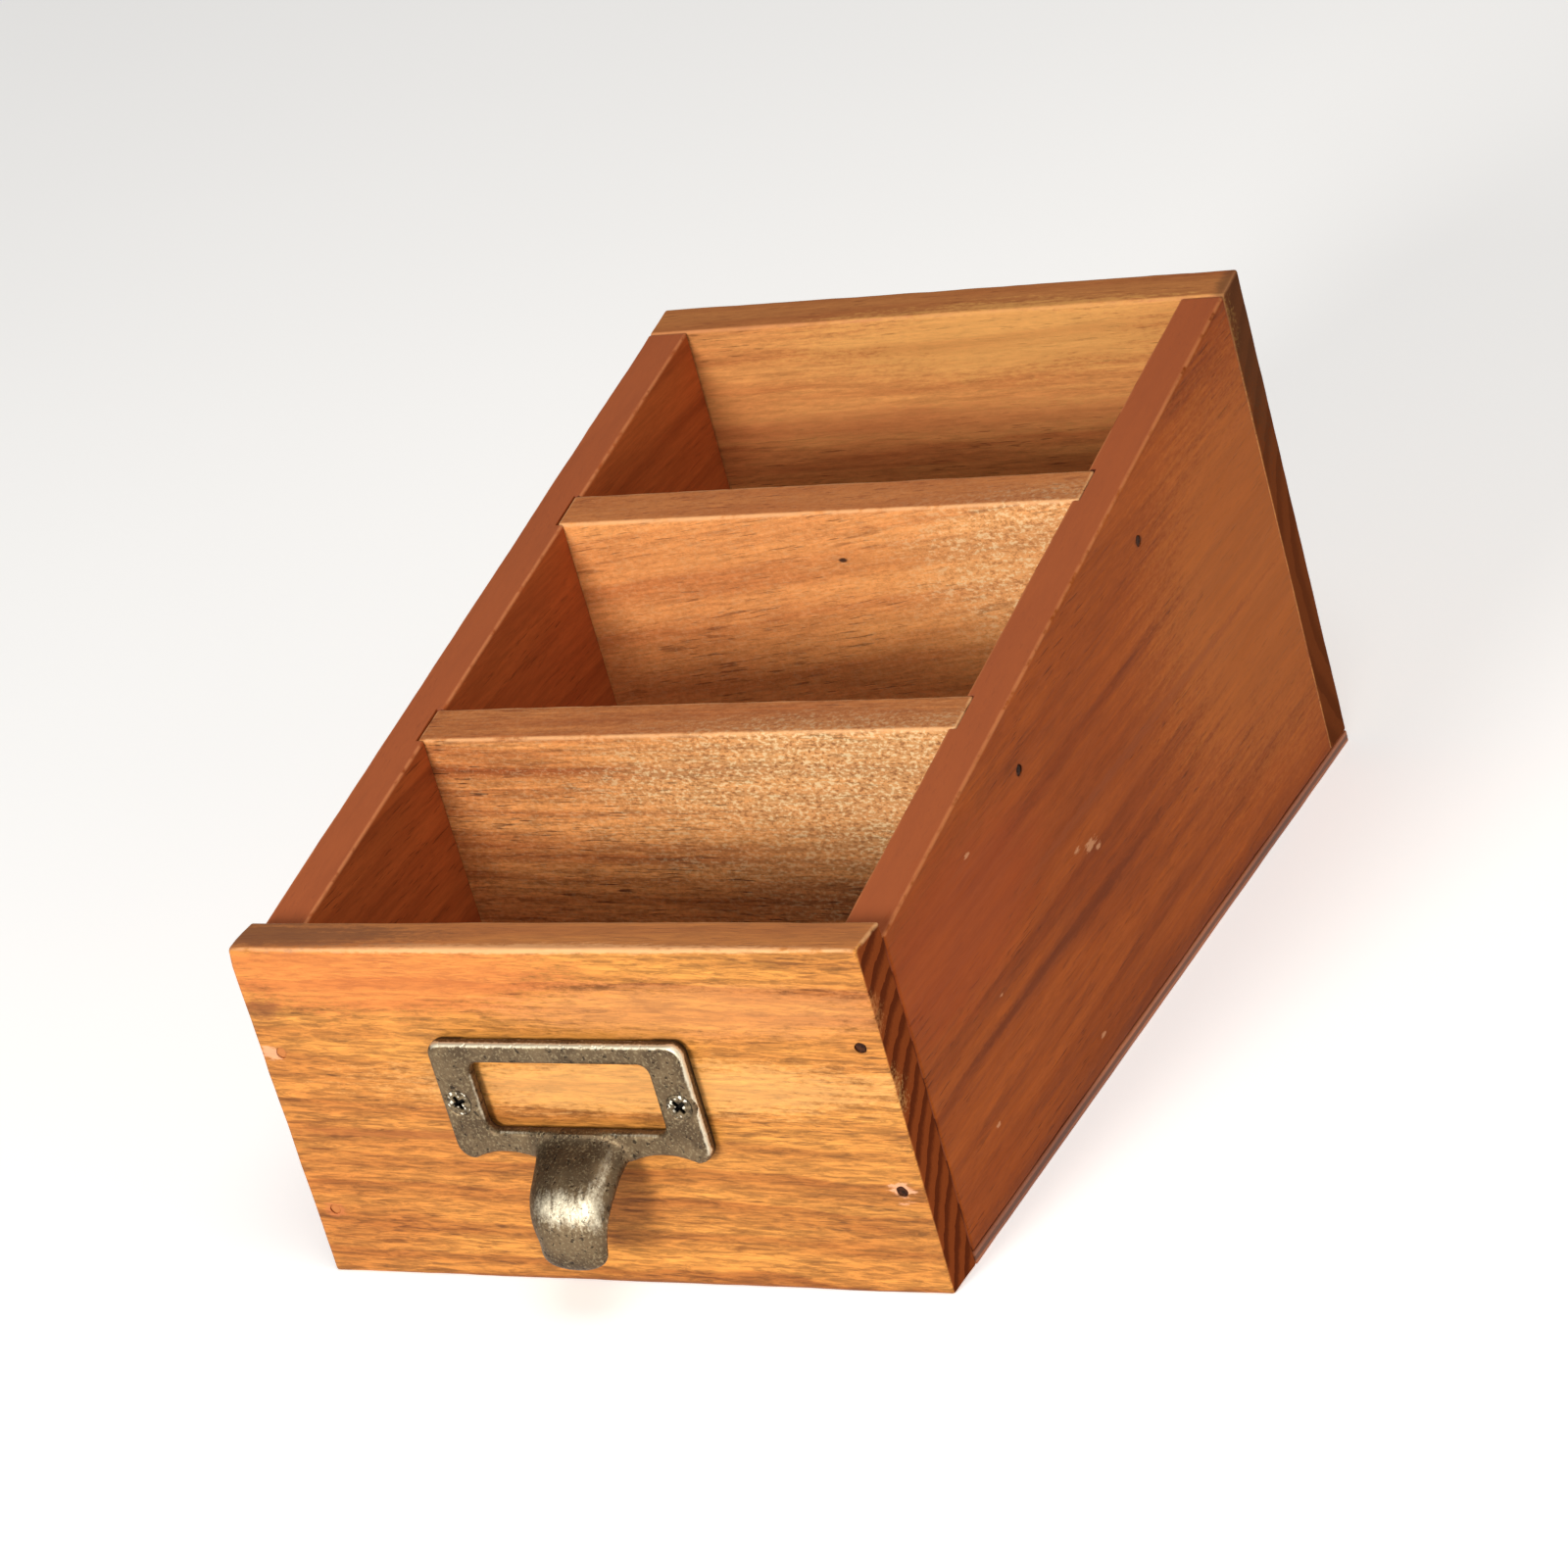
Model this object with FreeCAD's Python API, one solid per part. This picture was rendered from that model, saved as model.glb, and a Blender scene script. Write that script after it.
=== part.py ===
"""Slope-topped pine card box with three compartments and a cast label-holder pull on its front.

Millimetres. X runs across the box, the front faces -Y and +Z is up. The origin is the centre of
the wooden box's underside. Each function below makes one sub-part in its assembled place.
"""
import FreeCAD, Part
import math
import os

V = FreeCAD.Vector

# The wooden box.
WIDTH = 150.0
DEPTH = 230.0
FRONT_HEIGHT = 80.5
BACK_HEIGHT = 121.0
SIDE_FRONT_HEIGHT = 77.0        # the sides' tops where they meet the front panel
FRONT_THICK = 11.0
SIDE_THICK = 10.6
BACK_THICK = 10.0
BOTTOM_THICK = 3.0
DIVIDER_THICK = 10.6
DIVIDER_SETBACKS = (73.0, 147.5)    # from the box's front face to each divider's front face

# The housings that hold the dividers' ends: grooves in the sides, open at the top.
HOUSING_DEPTH = 2.0
HOUSING_SIDE_GAP = 0.1
HOUSING_END_GAP = 0.25

# Panel pins: round wire nails, their heads punched just below the surface.
PIN_RADIUS = 0.75
PIN_HEAD_RADIUS = 1.3
PIN_HEAD_THICK = 0.6
PIN_POINT = 2.0
PIN_SET = 0.15
PIN_HOLE_CLEARANCE = 0.02
PANEL_PIN_LENGTH = 25.0
BOTTOM_PIN_LENGTH = 15.0
FRONT_PIN_HEIGHTS = {-1: (16.0, 55.0), 1: (24.5, 58.0)}    # left and right ends of the front panel
BACK_PIN_HEIGHTS = (20.0, 62.0, 104.0)
DIVIDER_PIN_BELOW_TOP = 14.0
BOTTOM_PIN_END_MARGIN = 18.0
BOTTOM_PINS_PER_SIDE = 4
BOTTOM_BACK_PIN_X = 35.0

# The label-holder pull: a cast plate with a window, a card slot behind it and a finger hook.
PLATE_WIDTH = 61.0
PLATE_TOP = 60.0
PLATE_BOTTOM = 31.9
PLATE_FRONT = 3.6               # how far the plate's face stands in front of the panel
PLATE_CORNER = 3.0
LOBE_CENTRE = 26.7              # the plate's lower corners are round lobes
LOBE_RADIUS = 3.8
SCALLOP_CENTRE = 18.4
SCALLOP_TOP = 33.7              # the lower edge arches up between each lobe and the hook
WINDOW_WIDTH = 42.8
WINDOW_TOP = 55.2
WINDOW_BOTTOM = 38.9
WINDOW_CORNER = 2.2
CARD_SLOT_WIDTH = 45.4
CARD_SLOT_DEPTH = 1.0
CARD_SLOT_BOTTOM = 36.5
PLATE_EDGE_ROUND = 0.9

# The finger hook, as seen from the front and from the side.
HOOK_ROOT_HALF = 10.8
HOOK_ROOT_HEIGHT = 33.0
HOOK_END_RADIUS = 8.5
HOOK_TIP_HEIGHT = 14.2
HOOK_REACH = 18.4
HOOK_METAL = 2.4
HOOK_CURL_HEIGHT = 19.0         # below this height the hook curls in to its tip
HOOK_TIP_INSET = 1.9            # from the hook's outermost point in to its lowest point
HOOK_OUTER_POLES = (35.0, 36.0)     # heights of the middle poles of its outer sweep, root first
HOOK_INNER_POLES = (30.5, 31.0)     # the same for its inner sweep
HOOK_INNER_ROOT = 5.0           # how far out the inner sweep's first middle pole stands
HOOK_TIP_OUTER_POLE = 1.6       # how far above the tip the curl's outer and inner poles stand
HOOK_TIP_INNER_POLE = 1.2
HOOK_TIP_ROUND = 0.3
HOOK_EDGE_ROUND = 0.7

# The two countersunk screws that hold the pull.
SCREW_SPREAD = 26.4
SCREW_HEIGHT = 45.7
SCREW_HEAD_RADIUS = 2.9
SCREW_HEAD_DEPTH = 1.5
SCREW_RADIUS = 1.4
SCREW_LENGTH = 12.5
SCREW_POINT = 2.5
SCREW_HOLE_CLEARANCE = 0.15     # in the plate
SCREW_PILOT_CLEARANCE = 0.02    # in the panel
CROSS_LENGTH = 3.0
CROSS_WIDTH = 0.7
CROSS_DEPTH = 1.0

# Planes that follow from the dimensions above.
HALF = WIDTH / 2
INNER_HALF = HALF - SIDE_THICK
FRONT_FACE = -DEPTH / 2
FRONT_INNER = FRONT_FACE + FRONT_THICK
BACK_FACE = DEPTH / 2
BACK_INNER = BACK_FACE - BACK_THICK
PANEL_END_CENTRE = HALF - SIDE_THICK / 2
TOP_RISE = (BACK_HEIGHT - SIDE_FRONT_HEIGHT) / (BACK_FACE - FRONT_INNER)


def top_at(y):
    """Height of the sloping rim at a depth."""
    return SIDE_FRONT_HEIGHT + TOP_RISE * (y - FRONT_INNER)


def box(x0, x1, y0, y1, z0, z1):
    return Part.makeBox(x1 - x0, y1 - y0, z1 - z0, V(x0, y0, z0))


def side_extrusion(points, x0, x1):
    """Extrudes a closed (y, z) polygon from x0 to x1."""
    wire = Part.makePolygon([V(x0, y, z) for y, z in points + points[:1]])
    return Part.Face(wire).extrude(V(x1 - x0, 0, 0))


def under_slope(x0, x1, y0, y1, z0):
    """A board that stands on z0 and is cut off by the sloping rim."""
    return side_extrusion([(y0, z0), (y1, z0), (y1, top_at(y1)), (y0, top_at(y0))], x0, x1)


def divider_front(index):
    return FRONT_FACE + DIVIDER_SETBACKS[index]


# Nails and screws.

def pin_shape(surface, direction, length, grow=0.0):
    """A nail set below the point 'surface' and driven along 'direction', with its point last."""
    seat = surface + direction * PIN_SET
    neck = seat + direction * PIN_HEAD_THICK
    shank = length - PIN_HEAD_THICK - PIN_POINT
    head = Part.makeCylinder(PIN_HEAD_RADIUS + grow, PIN_HEAD_THICK, seat, direction)
    body = Part.makeCylinder(PIN_RADIUS + grow, shank, neck, direction)
    point = Part.makeCone(PIN_RADIUS + grow, 0.1 + grow, PIN_POINT, neck + direction * shank, direction)
    return head.fuse([body, point]).removeSplitter()


def pin_hole(surface, direction, length):
    """The hole that a nail leaves: its own shape, and the punched dimple above its head."""
    dimple = Part.makeCylinder(PIN_HEAD_RADIUS + PIN_HOLE_CLEARANCE, PIN_SET, surface, direction)
    return pin_shape(surface, direction, length, PIN_HOLE_CLEARANCE).fuse(dimple).removeSplitter()


def front_pins():
    """(surface point, direction, length) of the nails from the front panel into the sides."""
    return [(V(side * PANEL_END_CENTRE, FRONT_FACE, z), V(0, 1, 0), PANEL_PIN_LENGTH)
            for side in (-1, 1) for z in FRONT_PIN_HEIGHTS[side]]


def back_pins():
    return [(V(side * PANEL_END_CENTRE, BACK_FACE, z), V(0, -1, 0), PANEL_PIN_LENGTH)
            for side in (-1, 1) for z in BACK_PIN_HEIGHTS]


def divider_pins():
    """One nail through each side into each divider's end, on the divider's centre line."""
    pins = []
    for side in (-1, 1):
        for index in range(len(DIVIDER_SETBACKS)):
            y = divider_front(index) + DIVIDER_THICK / 2
            surface = V(side * HALF, y, top_at(y) - DIVIDER_PIN_BELOW_TOP)
            pins.append((surface, V(-side, 0, 0), PANEL_PIN_LENGTH))
    return pins


def bottom_pins():
    """Nails up through the bottom panel into the sides and the back panel."""
    first = FRONT_INNER + BOTTOM_PIN_END_MARGIN
    last = BACK_FACE - BOTTOM_PIN_END_MARGIN
    step = (last - first) / (BOTTOM_PINS_PER_SIDE - 1)
    places = [V(side * PANEL_END_CENTRE, first + step * n, 0)
              for side in (-1, 1) for n in range(BOTTOM_PINS_PER_SIDE)]
    places += [V(side * BOTTOM_BACK_PIN_X, BACK_FACE - BACK_THICK / 2, 0) for side in (-1, 1)]
    return [(place, V(0, 0, 1), BOTTOM_PIN_LENGTH) for place in places]


def drill(board, *pin_groups):
    """Cuts the holes of every nail in the groups out of a board."""
    holes = [pin_hole(*pin) for group in pin_groups for pin in group]
    return board.cut(holes).removeSplitter()


def pins(group):
    return Part.makeCompound([pin_shape(*pin) for pin in group])


# The boards.

def front_panel():
    panel = box(-HALF, HALF, FRONT_FACE, FRONT_INNER, 0, FRONT_HEIGHT)
    screw_holes = [screw_shape(side, SCREW_PILOT_CLEARANCE) for side in (-1, 1)]
    return drill(panel.cut(screw_holes), front_pins())


def back_panel():
    panel = under_slope(-HALF, HALF, BACK_INNER, BACK_FACE, BOTTOM_THICK)
    return drill(panel, back_pins(), bottom_pins())


def side_panel(side):
    """side is -1 for the left board and 1 for the right one."""
    x0, x1 = sorted((side * INNER_HALF, side * HALF))
    panel = under_slope(x0, x1, FRONT_INNER, BACK_INNER, BOTTOM_THICK)
    g0, g1 = sorted((side * (INNER_HALF - 1), side * (INNER_HALF + HOUSING_DEPTH)))
    for index in range(len(DIVIDER_SETBACKS)):
        y0 = divider_front(index) - HOUSING_SIDE_GAP
        y1 = divider_front(index) + DIVIDER_THICK + HOUSING_SIDE_GAP
        panel = panel.cut(box(g0, g1, y0, y1, BOTTOM_THICK - 1, BACK_HEIGHT))
    return drill(panel, front_pins(), back_pins(), divider_pins(), bottom_pins())


def bottom_panel():
    panel = box(-HALF, HALF, FRONT_INNER, BACK_FACE, 0, BOTTOM_THICK)
    return drill(panel, bottom_pins())


def divider(index):
    half = INNER_HALF + HOUSING_DEPTH - HOUSING_END_GAP
    y0 = divider_front(index)
    board = under_slope(-half, half, y0, y0 + DIVIDER_THICK, BOTTOM_THICK)
    return drill(board, divider_pins())


# The label-holder pull. Its outlines are drawn in (x, z), and 'out' is distance from the panel.

def outward(out):
    return FRONT_FACE - out


def plate_outline():
    """The plate's outer edge: round top corners, lobed lower corners and a scallop beside the hook."""
    half = PLATE_WIDTH / 2
    y = outward(0)
    corner_in = PLATE_CORNER * (1 - math.sqrt(0.5))
    lobe_z = PLATE_BOTTOM + LOBE_RADIUS
    lobe_in = LOBE_RADIUS * math.sqrt(0.5)
    edges = []
    for side in (1, -1):
        top = V(side * (half - PLATE_CORNER), y, PLATE_TOP)
        top_mid = V(side * (half - corner_in), y, PLATE_TOP - corner_in)
        shoulder = V(side * half, y, PLATE_TOP - PLATE_CORNER)
        hip = V(side * half, y, lobe_z)
        lobe_mid = V(side * (LOBE_CENTRE + lobe_in), y, lobe_z - lobe_in)
        lobe_end = V(side * LOBE_CENTRE, y, PLATE_BOTTOM)
        arch = V(side * SCALLOP_CENTRE, y, SCALLOP_TOP)
        root = V(side * HOOK_ROOT_HALF, y, PLATE_BOTTOM)
        edges += [Part.Arc(top, top_mid, shoulder).toShape(),
                  Part.makeLine(shoulder, hip),
                  Part.Arc(hip, lobe_mid, lobe_end).toShape(),
                  Part.Arc(lobe_end, arch, root).toShape()]
    edges.append(Part.makeLine(V(-half + PLATE_CORNER, y, PLATE_TOP), V(half - PLATE_CORNER, y, PLATE_TOP)))
    edges.append(Part.makeLine(V(-HOOK_ROOT_HALF, y, PLATE_BOTTOM), V(HOOK_ROOT_HALF, y, PLATE_BOTTOM)))
    return Part.Wire(Part.__sortEdges__(edges))


def window():
    """The block that cuts the window, with round corners."""
    half = WINDOW_WIDTH / 2
    block = box(-half, half, outward(PLATE_FRONT + 1), outward(-1), WINDOW_BOTTOM, WINDOW_TOP)
    corners = [e for e in block.Edges if abs(e.tangentAt(e.FirstParameter).y) > 0.99]
    return block.makeFillet(WINDOW_CORNER, corners)


def hook_side():
    """The hook seen from the side: it leaves the plate, sweeps outward and curls down."""
    def at(out, z):
        return V(0, outward(out), z)

    def curve(*poles):
        bezier = Part.BezierCurve()
        bezier.setPoles([at(*pole) for pole in poles])
        return bezier.toShape()

    reach = HOOK_REACH
    inner_reach = reach - HOOK_METAL
    tip_out = reach - HOOK_TIP_INSET
    tip_z = HOOK_TIP_HEIGHT
    curl_z = HOOK_CURL_HEIGHT
    edges = [
        curve((PLATE_FRONT, WINDOW_BOTTOM), (PLATE_FRONT, HOOK_OUTER_POLES[0]),
              (reach, HOOK_OUTER_POLES[1]), (reach, curl_z)),
        curve((reach, curl_z), (reach, tip_z + HOOK_TIP_OUTER_POLE), (reach - HOOK_TIP_ROUND, tip_z),
              (tip_out, tip_z)),
        curve((tip_out, tip_z), (inner_reach, tip_z), (inner_reach, tip_z + HOOK_TIP_INNER_POLE),
              (inner_reach, curl_z)),
        curve((inner_reach, curl_z), (inner_reach, HOOK_INNER_POLES[1]),
              (HOOK_INNER_ROOT, HOOK_INNER_POLES[0]), (CARD_SLOT_DEPTH, PLATE_BOTTOM)),
        Part.makeLine(at(CARD_SLOT_DEPTH, PLATE_BOTTOM), at(CARD_SLOT_DEPTH, WINDOW_BOTTOM)),
        Part.makeLine(at(CARD_SLOT_DEPTH, WINDOW_BOTTOM), at(PLATE_FRONT, WINDOW_BOTTOM)),
    ]
    return Part.Face(Part.Wire(edges))


def hook_front():
    """The hook seen from the front: a tongue whose straight sides run tangent into its round end."""
    y = outward(0)
    centre_z = HOOK_TIP_HEIGHT + HOOK_END_RADIUS
    rise = HOOK_ROOT_HEIGHT - centre_z
    turn = math.atan2(rise, HOOK_ROOT_HALF) - math.acos(HOOK_END_RADIUS / math.hypot(HOOK_ROOT_HALF, rise))
    touch_x = HOOK_END_RADIUS * math.cos(turn)
    touch_z = centre_z + HOOK_END_RADIUS * math.sin(turn)
    points = [V(-touch_x, y, touch_z), V(-HOOK_ROOT_HALF, y, HOOK_ROOT_HEIGHT),
              V(-HOOK_ROOT_HALF, y, WINDOW_BOTTOM), V(HOOK_ROOT_HALF, y, WINDOW_BOTTOM),
              V(HOOK_ROOT_HALF, y, HOOK_ROOT_HEIGHT), V(touch_x, y, touch_z)]
    end = Part.Arc(points[-1], V(0, y, HOOK_TIP_HEIGHT), points[0]).toShape()
    return Part.Face(Part.Wire([*Part.makePolygon(points).Edges, end]))


def middle(edge):
    return (edge.FirstParameter + edge.LastParameter) / 2


def runs_along_outline(edge):
    """True for the tongue's rims, and not for seams across it or edges through the metal."""
    tangent = edge.tangentAt(middle(edge))
    return max(abs(tangent.x), abs(tangent.y)) < 0.99


def hook():
    slab = hook_side().extrude(V(2 * HOOK_ROOT_HALF + 2, 0, 0))
    slab.translate(V(-HOOK_ROOT_HALF - 1, 0, 0))
    tongue = slab.common(hook_front().extrude(V(0, -HOOK_REACH - 1, 0)))
    free = [e for e in tongue.Edges if e.valueAt(middle(e)).z < HOOK_ROOT_HEIGHT]
    return tongue.makeFillet(HOOK_EDGE_ROUND, [e for e in free if runs_along_outline(e)])


def plate():
    """The plate with its window, its front arrises rounded and the card slot open at the top."""
    sheet = Part.Face(plate_outline()).extrude(V(0, -PLATE_FRONT, 0)).cut(window())
    arrises = [e for e in sheet.Edges if abs(e.valueAt(middle(e)).y - outward(PLATE_FRONT)) < 0.001]
    slot_half = CARD_SLOT_WIDTH / 2
    card_slot = box(-slot_half, slot_half, outward(CARD_SLOT_DEPTH), outward(-1), CARD_SLOT_BOTTOM,
                    PLATE_TOP + 1)
    return sheet.makeFillet(PLATE_EDGE_ROUND, arrises).cut(card_slot)


def label_pull():
    holes = [screw_shape(side, SCREW_HOLE_CLEARANCE) for side in (-1, 1)]
    return plate().fuse(hook()).cut(holes)


def screw_shape(side, grow=0.0):
    """A countersunk screw, its head flush with the plate's face, without the cross in its head."""
    face = V(side * SCREW_SPREAD, outward(PLATE_FRONT), SCREW_HEIGHT)
    inward = V(0, 1, 0)
    shank = SCREW_LENGTH - SCREW_HEAD_DEPTH - SCREW_POINT
    neck = face + inward * SCREW_HEAD_DEPTH
    head = Part.makeCone(SCREW_HEAD_RADIUS + grow, SCREW_RADIUS + grow, SCREW_HEAD_DEPTH, face, inward)
    body = Part.makeCylinder(SCREW_RADIUS + grow, shank, neck, inward)
    point = Part.makeCone(SCREW_RADIUS + grow, 0.2 + grow, SCREW_POINT, neck + inward * shank, inward)
    return head.fuse([body, point]).removeSplitter()


def pull_screw(side):
    x = side * SCREW_SPREAD
    long, short = CROSS_LENGTH / 2, CROSS_WIDTH / 2
    y0, y1 = outward(PLATE_FRONT), outward(PLATE_FRONT - CROSS_DEPTH)
    slots = [box(x - a, x + a, y0, y1, SCREW_HEIGHT - b, SCREW_HEIGHT + b)
             for a, b in ((long, short), (short, long))]
    return screw_shape(side).cut(slots)


def pull_screws():
    return Part.makeCompound([pull_screw(side) for side in (-1, 1)])


SUBPARTS = {
    "front_panel": front_panel(),
    "back_panel": back_panel(),
    "left_side": side_panel(-1),
    "right_side": side_panel(1),
    "bottom_panel": bottom_panel(),
    "front_divider": divider(0),
    "rear_divider": divider(1),
    "label_pull": label_pull(),
    "pull_screws": pull_screws(),
    "front_panel_nails": pins(front_pins()),
    "back_panel_nails": pins(back_pins()),
    "divider_nails": pins(divider_pins()),
    "bottom_nails": pins(bottom_pins()),
}

os.makedirs("parts", exist_ok=True)
for node, shape in SUBPARTS.items():
    shape.exportStep(f"parts/{node}.step")
    print(node, len(shape.Solids), "solids,", "valid" if shape.isValid() else "INVALID")
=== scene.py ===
"""Looks for the slope-topped pine card box: stained boards, set nails and an aged bronze label pull.

Lengths in this script are millimetres in the row frame until a mesh is made, which scales them to
metres. X runs across the box, its front faces -Y and +Z is up.
"""

import math
from dataclasses import dataclass, field

import bmesh
import bpy
import numpy as np
from mathutils import Matrix, Vector, noise


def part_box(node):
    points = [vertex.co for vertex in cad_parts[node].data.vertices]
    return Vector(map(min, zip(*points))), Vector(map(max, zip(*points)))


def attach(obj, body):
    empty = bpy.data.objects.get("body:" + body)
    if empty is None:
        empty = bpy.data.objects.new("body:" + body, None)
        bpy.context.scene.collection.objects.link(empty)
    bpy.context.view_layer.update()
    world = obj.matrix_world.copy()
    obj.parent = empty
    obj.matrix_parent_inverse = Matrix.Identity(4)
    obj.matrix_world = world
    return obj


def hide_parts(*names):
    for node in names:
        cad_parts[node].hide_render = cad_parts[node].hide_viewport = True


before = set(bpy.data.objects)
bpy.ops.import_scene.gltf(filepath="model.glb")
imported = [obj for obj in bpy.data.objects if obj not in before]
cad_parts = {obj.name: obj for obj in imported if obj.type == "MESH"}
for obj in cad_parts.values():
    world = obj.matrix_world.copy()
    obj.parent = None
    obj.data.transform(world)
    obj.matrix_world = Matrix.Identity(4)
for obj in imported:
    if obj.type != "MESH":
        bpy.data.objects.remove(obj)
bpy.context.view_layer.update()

METRE = 1000.0                  # millimetres
BODY = "root"

# The rim slopes up from the front panel to the back of the box.
SIDE_FRONT_HEIGHT = 77.0

# Boards.
ARRIS = 0.8                     # radius of a worn arris
ARRIS_VARIATION = 0.45          # how much that radius wanders along the edge
ROW_FRACTIONS = (0.0, 0.35, 0.7)    # rows of vertices that turn an arris, as parts of its radius
BOARD_STEP = 3.2                # vertex spacing on a board's faces
UNEVENNESS = 0.12               # how far a hand-finished face dips
LOW_ARRIS_WEAR = 0.35           # how worn the other arrises are beside the top ones
SHARP_ANGLE = math.radians(38)

# Housings that hold the dividers' ends.
HOUSING_SIDE_GAP = 0.12
HOUSING_END_GAP = 0.25

# Nails and screws.
NAIL_HEAD_PROFILE = ((0.0, 0.25), (0.02, 0.7), (0.08, 1.05), (0.2, 1.26), (0.42, 1.28), (0.6, 1.1),
                     (0.8, 0.74))   # depth and radius
NAIL_GRIP_RINGS = 5
NAIL_SHANK = 0.74               # radius
NAIL_GRIP = 0.66                # radius between the grip rings
NAIL_POINT = 2.0
PIN_SET = 0.15                  # depth of a nail's head below the wood's surface
DIMPLE_DEPTH = 0.75
DIMPLE_RADIUS = 1.3
CUTTER_LEAD = 0.4               # how far outside the wood the dimple's cutter starts
SCREW_HEAD_DEPTH = 1.5
SCREW_SEAT_GAP = 0.2
SCREW_SEAT_LEAD = 0.6           # how far in front of the screw's head the seat's cutter starts
SCREW_SEAT_REACH = 4.0          # how far round a screw the plate keeps its patina
THREAD_PITCH = 1.1
THREAD_CORE = 1.05              # radius
THREAD_CREST = 0.33             # height
CROSS_TURNS = {-1: math.radians(24), 1: math.radians(38)}
CROSS_LENGTH = 3.7
CROSS_WIDTH = 1.05
CROSS_DEPTH = 1.0

# The label-holder pull. 'out' is distance from the front panel's face.
PLATE_FRONT = 3.6
PLATE_BOTTOM = 31.9
PLATE_CORNER = 3.0
PLATE_ROUND = 1.1
LOBE_CENTRE = 26.7
LOBE_RADIUS = 3.8
SCALLOP_CENTRE = 18.4
SCALLOP_TOP = 33.7
WINDOW_WIDTH = 42.8
WINDOW_TOP = 55.2
WINDOW_BOTTOM = 38.9
WINDOW_CORNER = 2.2
CARD_SLOT_HALF = 22.7
CARD_SLOT_DEPTH = 1.0
CARD_SLOT_BOTTOM = 36.5
HOOK_ROOT_HALF = 11.2
HOOK_NECK_HALF = 10.1           # where the root has flared in to the tongue
HOOK_NECK_HEIGHT = 31.5
HOOK_ROOT_HEIGHT = 34.5
HOOK_CROWN = 2.2                # how far the hook's long edges fall back behind its middle
HOOK_TIP_CROWN = 0.5            # the same at its tip
HOOK_CROWN_POWER = 4.5          # 2 is evenly round, and more is flat in the middle
HOOK_SWEEP = {
    "outer": (((3.6, 38.9), (3.6, 35.0), (18.4, 36.0), (18.4, 20.0)),
              ((18.4, 20.0), (18.4, 17.2), (17.9, 15.0), (16.5, 14.2))),
    "inner": (((1.0, 31.9), (5.0, 30.5), (16.0, 31.0), (16.0, 20.0)),
              ((16.0, 20.0), (16.0, 18.2), (15.8, 16.8), (15.1, 15.8))),
}
HOOK_POLISH = (16.0, 29.0)      # out and z of the place that fingers polish, which also carries a painted highlight
HOOK_END_HALF = 8.0             # the tongue's half width where its blunt end starts to close
HOOK_END_HEIGHT = 5.8           # how high above the tip that is
HOOK_END_FULLNESS = 3.5         # 2 is an elliptical end, and more is blunter
ROOT_GRIME = ((-2.5, 6.5, 36.0), (11.5, 8.0, 7.0))     # middle and reach, as (x, out, z)
TIP_SHADE_HEIGHT = 21.0         # below this the curled tip gets painted shade
HOOK_STATIONS = 44              # rings of vertices along the hook
HOOK_SIDES = 56                 # vertices round each of them
HOOK_SECTION_FULLNESS = 2.5     # 2 is an elliptical section, and more is boxier
ROOT_FILLET_HEIGHT = 35.5       # the corners where the hook leaves the plate are smoothed round here
ROOT_FILLET_REACH = (2.4, 4.0)  # across and up
ROOT_FILLET_OUT = 1.4           # only metal that stands out further than this is smoothed
CAST_VOXEL = 0.26
CAST_SOFTENING = (4, 0.5)       # rounds and weight of the smoothing of the whole casting
FILLET_SOFTENING = (40, 0.6)    # the same at the hook's root

# How the pull is worn, with painted highlights laid in with the wear. Wear goes from 0 to 1.
EDGE_GAIN = 6.5                 # wear for each 1/mm that an arris turns outward
EDGE_START = 0.4                # what is taken off it on the outer arrises
WINDOW_EDGE_START = 1.0         # the same round the window
EDGE_LIMIT = 1.2
SHADED_EDGE = 0.12              # share of the wear and painted highlight kept on an arris that faces down or left, and on the hook
SHELTERED_OUT = (1.0, 2.2)      # the wear fades in between these distances from the panel
SCREW_SEAT_WEAR = 0.15
POLISH_REACH = (3.6, 5.2)       # out and up from HOOK_POLISH
POLISH_HALF = 7.4
POLISH_WEAR = 0.7
RIDGE_PLACE = 7.4               # a worn line down the hook's right side, partly a painted highlight: its x, reach and wear
RIDGE_REACH = 1.9
RIDGE_WEAR = 0.4
RIDGE_FADE = (20.0, 26.0)       # it fades in between these heights
# The pull's patina colours. The tip's, the flanks' and the colour of the walls by the wood are painted shade,
# and the worn colour also carries a painted highlight.
PATINA = {
    "light": (118, 99, 74), "dark": (86, 70, 52), "speck": (162, 146, 114), "pit": (38, 30, 22),
    "root": (58, 47, 35), "tip": (66, 52, 38), "wall_shade": (24, 17, 12), "worn": (232, 222, 196),
    "flank_shade": (70, 57, 42),
}

# The camera and the studio.
CAMERA_PLACE = (0.5490, -0.8491, 0.5204)
CAMERA_AZIMUTH = math.radians(33.134)
CAMERA_ELEVATION = math.radians(24.697)
CAMERA_ROLL = math.radians(16.232)
CAMERA_LENS = 116.25
CAMERA_SENSOR = 36.0
LIGHTS = (      # name, azimuth and elevation in degrees, distance and size in metres, watts, colour
    ("key", -8, 17, 1.6, 0.5, 20, (1.0, 0.97, 0.92)),
    ("fill", 78, 16, 2.0, 1.2, 7.5, (1.0, 0.93, 0.85)),
    ("top", 45, 62, 1.7, 0.8, 8, (1.0, 0.97, 0.93)),
)
LIGHT_TARGET = (0, 0, 0.06)
WORLD_COLOR = (1.0, 0.97, 0.94, 1.0)
WORLD_STRENGTH = 0.2
FLOOR_GLOW = 0.42


def span(node):
    """A CAD node's lowest and highest corner in millimetres."""
    low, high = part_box(node)
    return np.array(low) * METRE, np.array(high) * METRE


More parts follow.
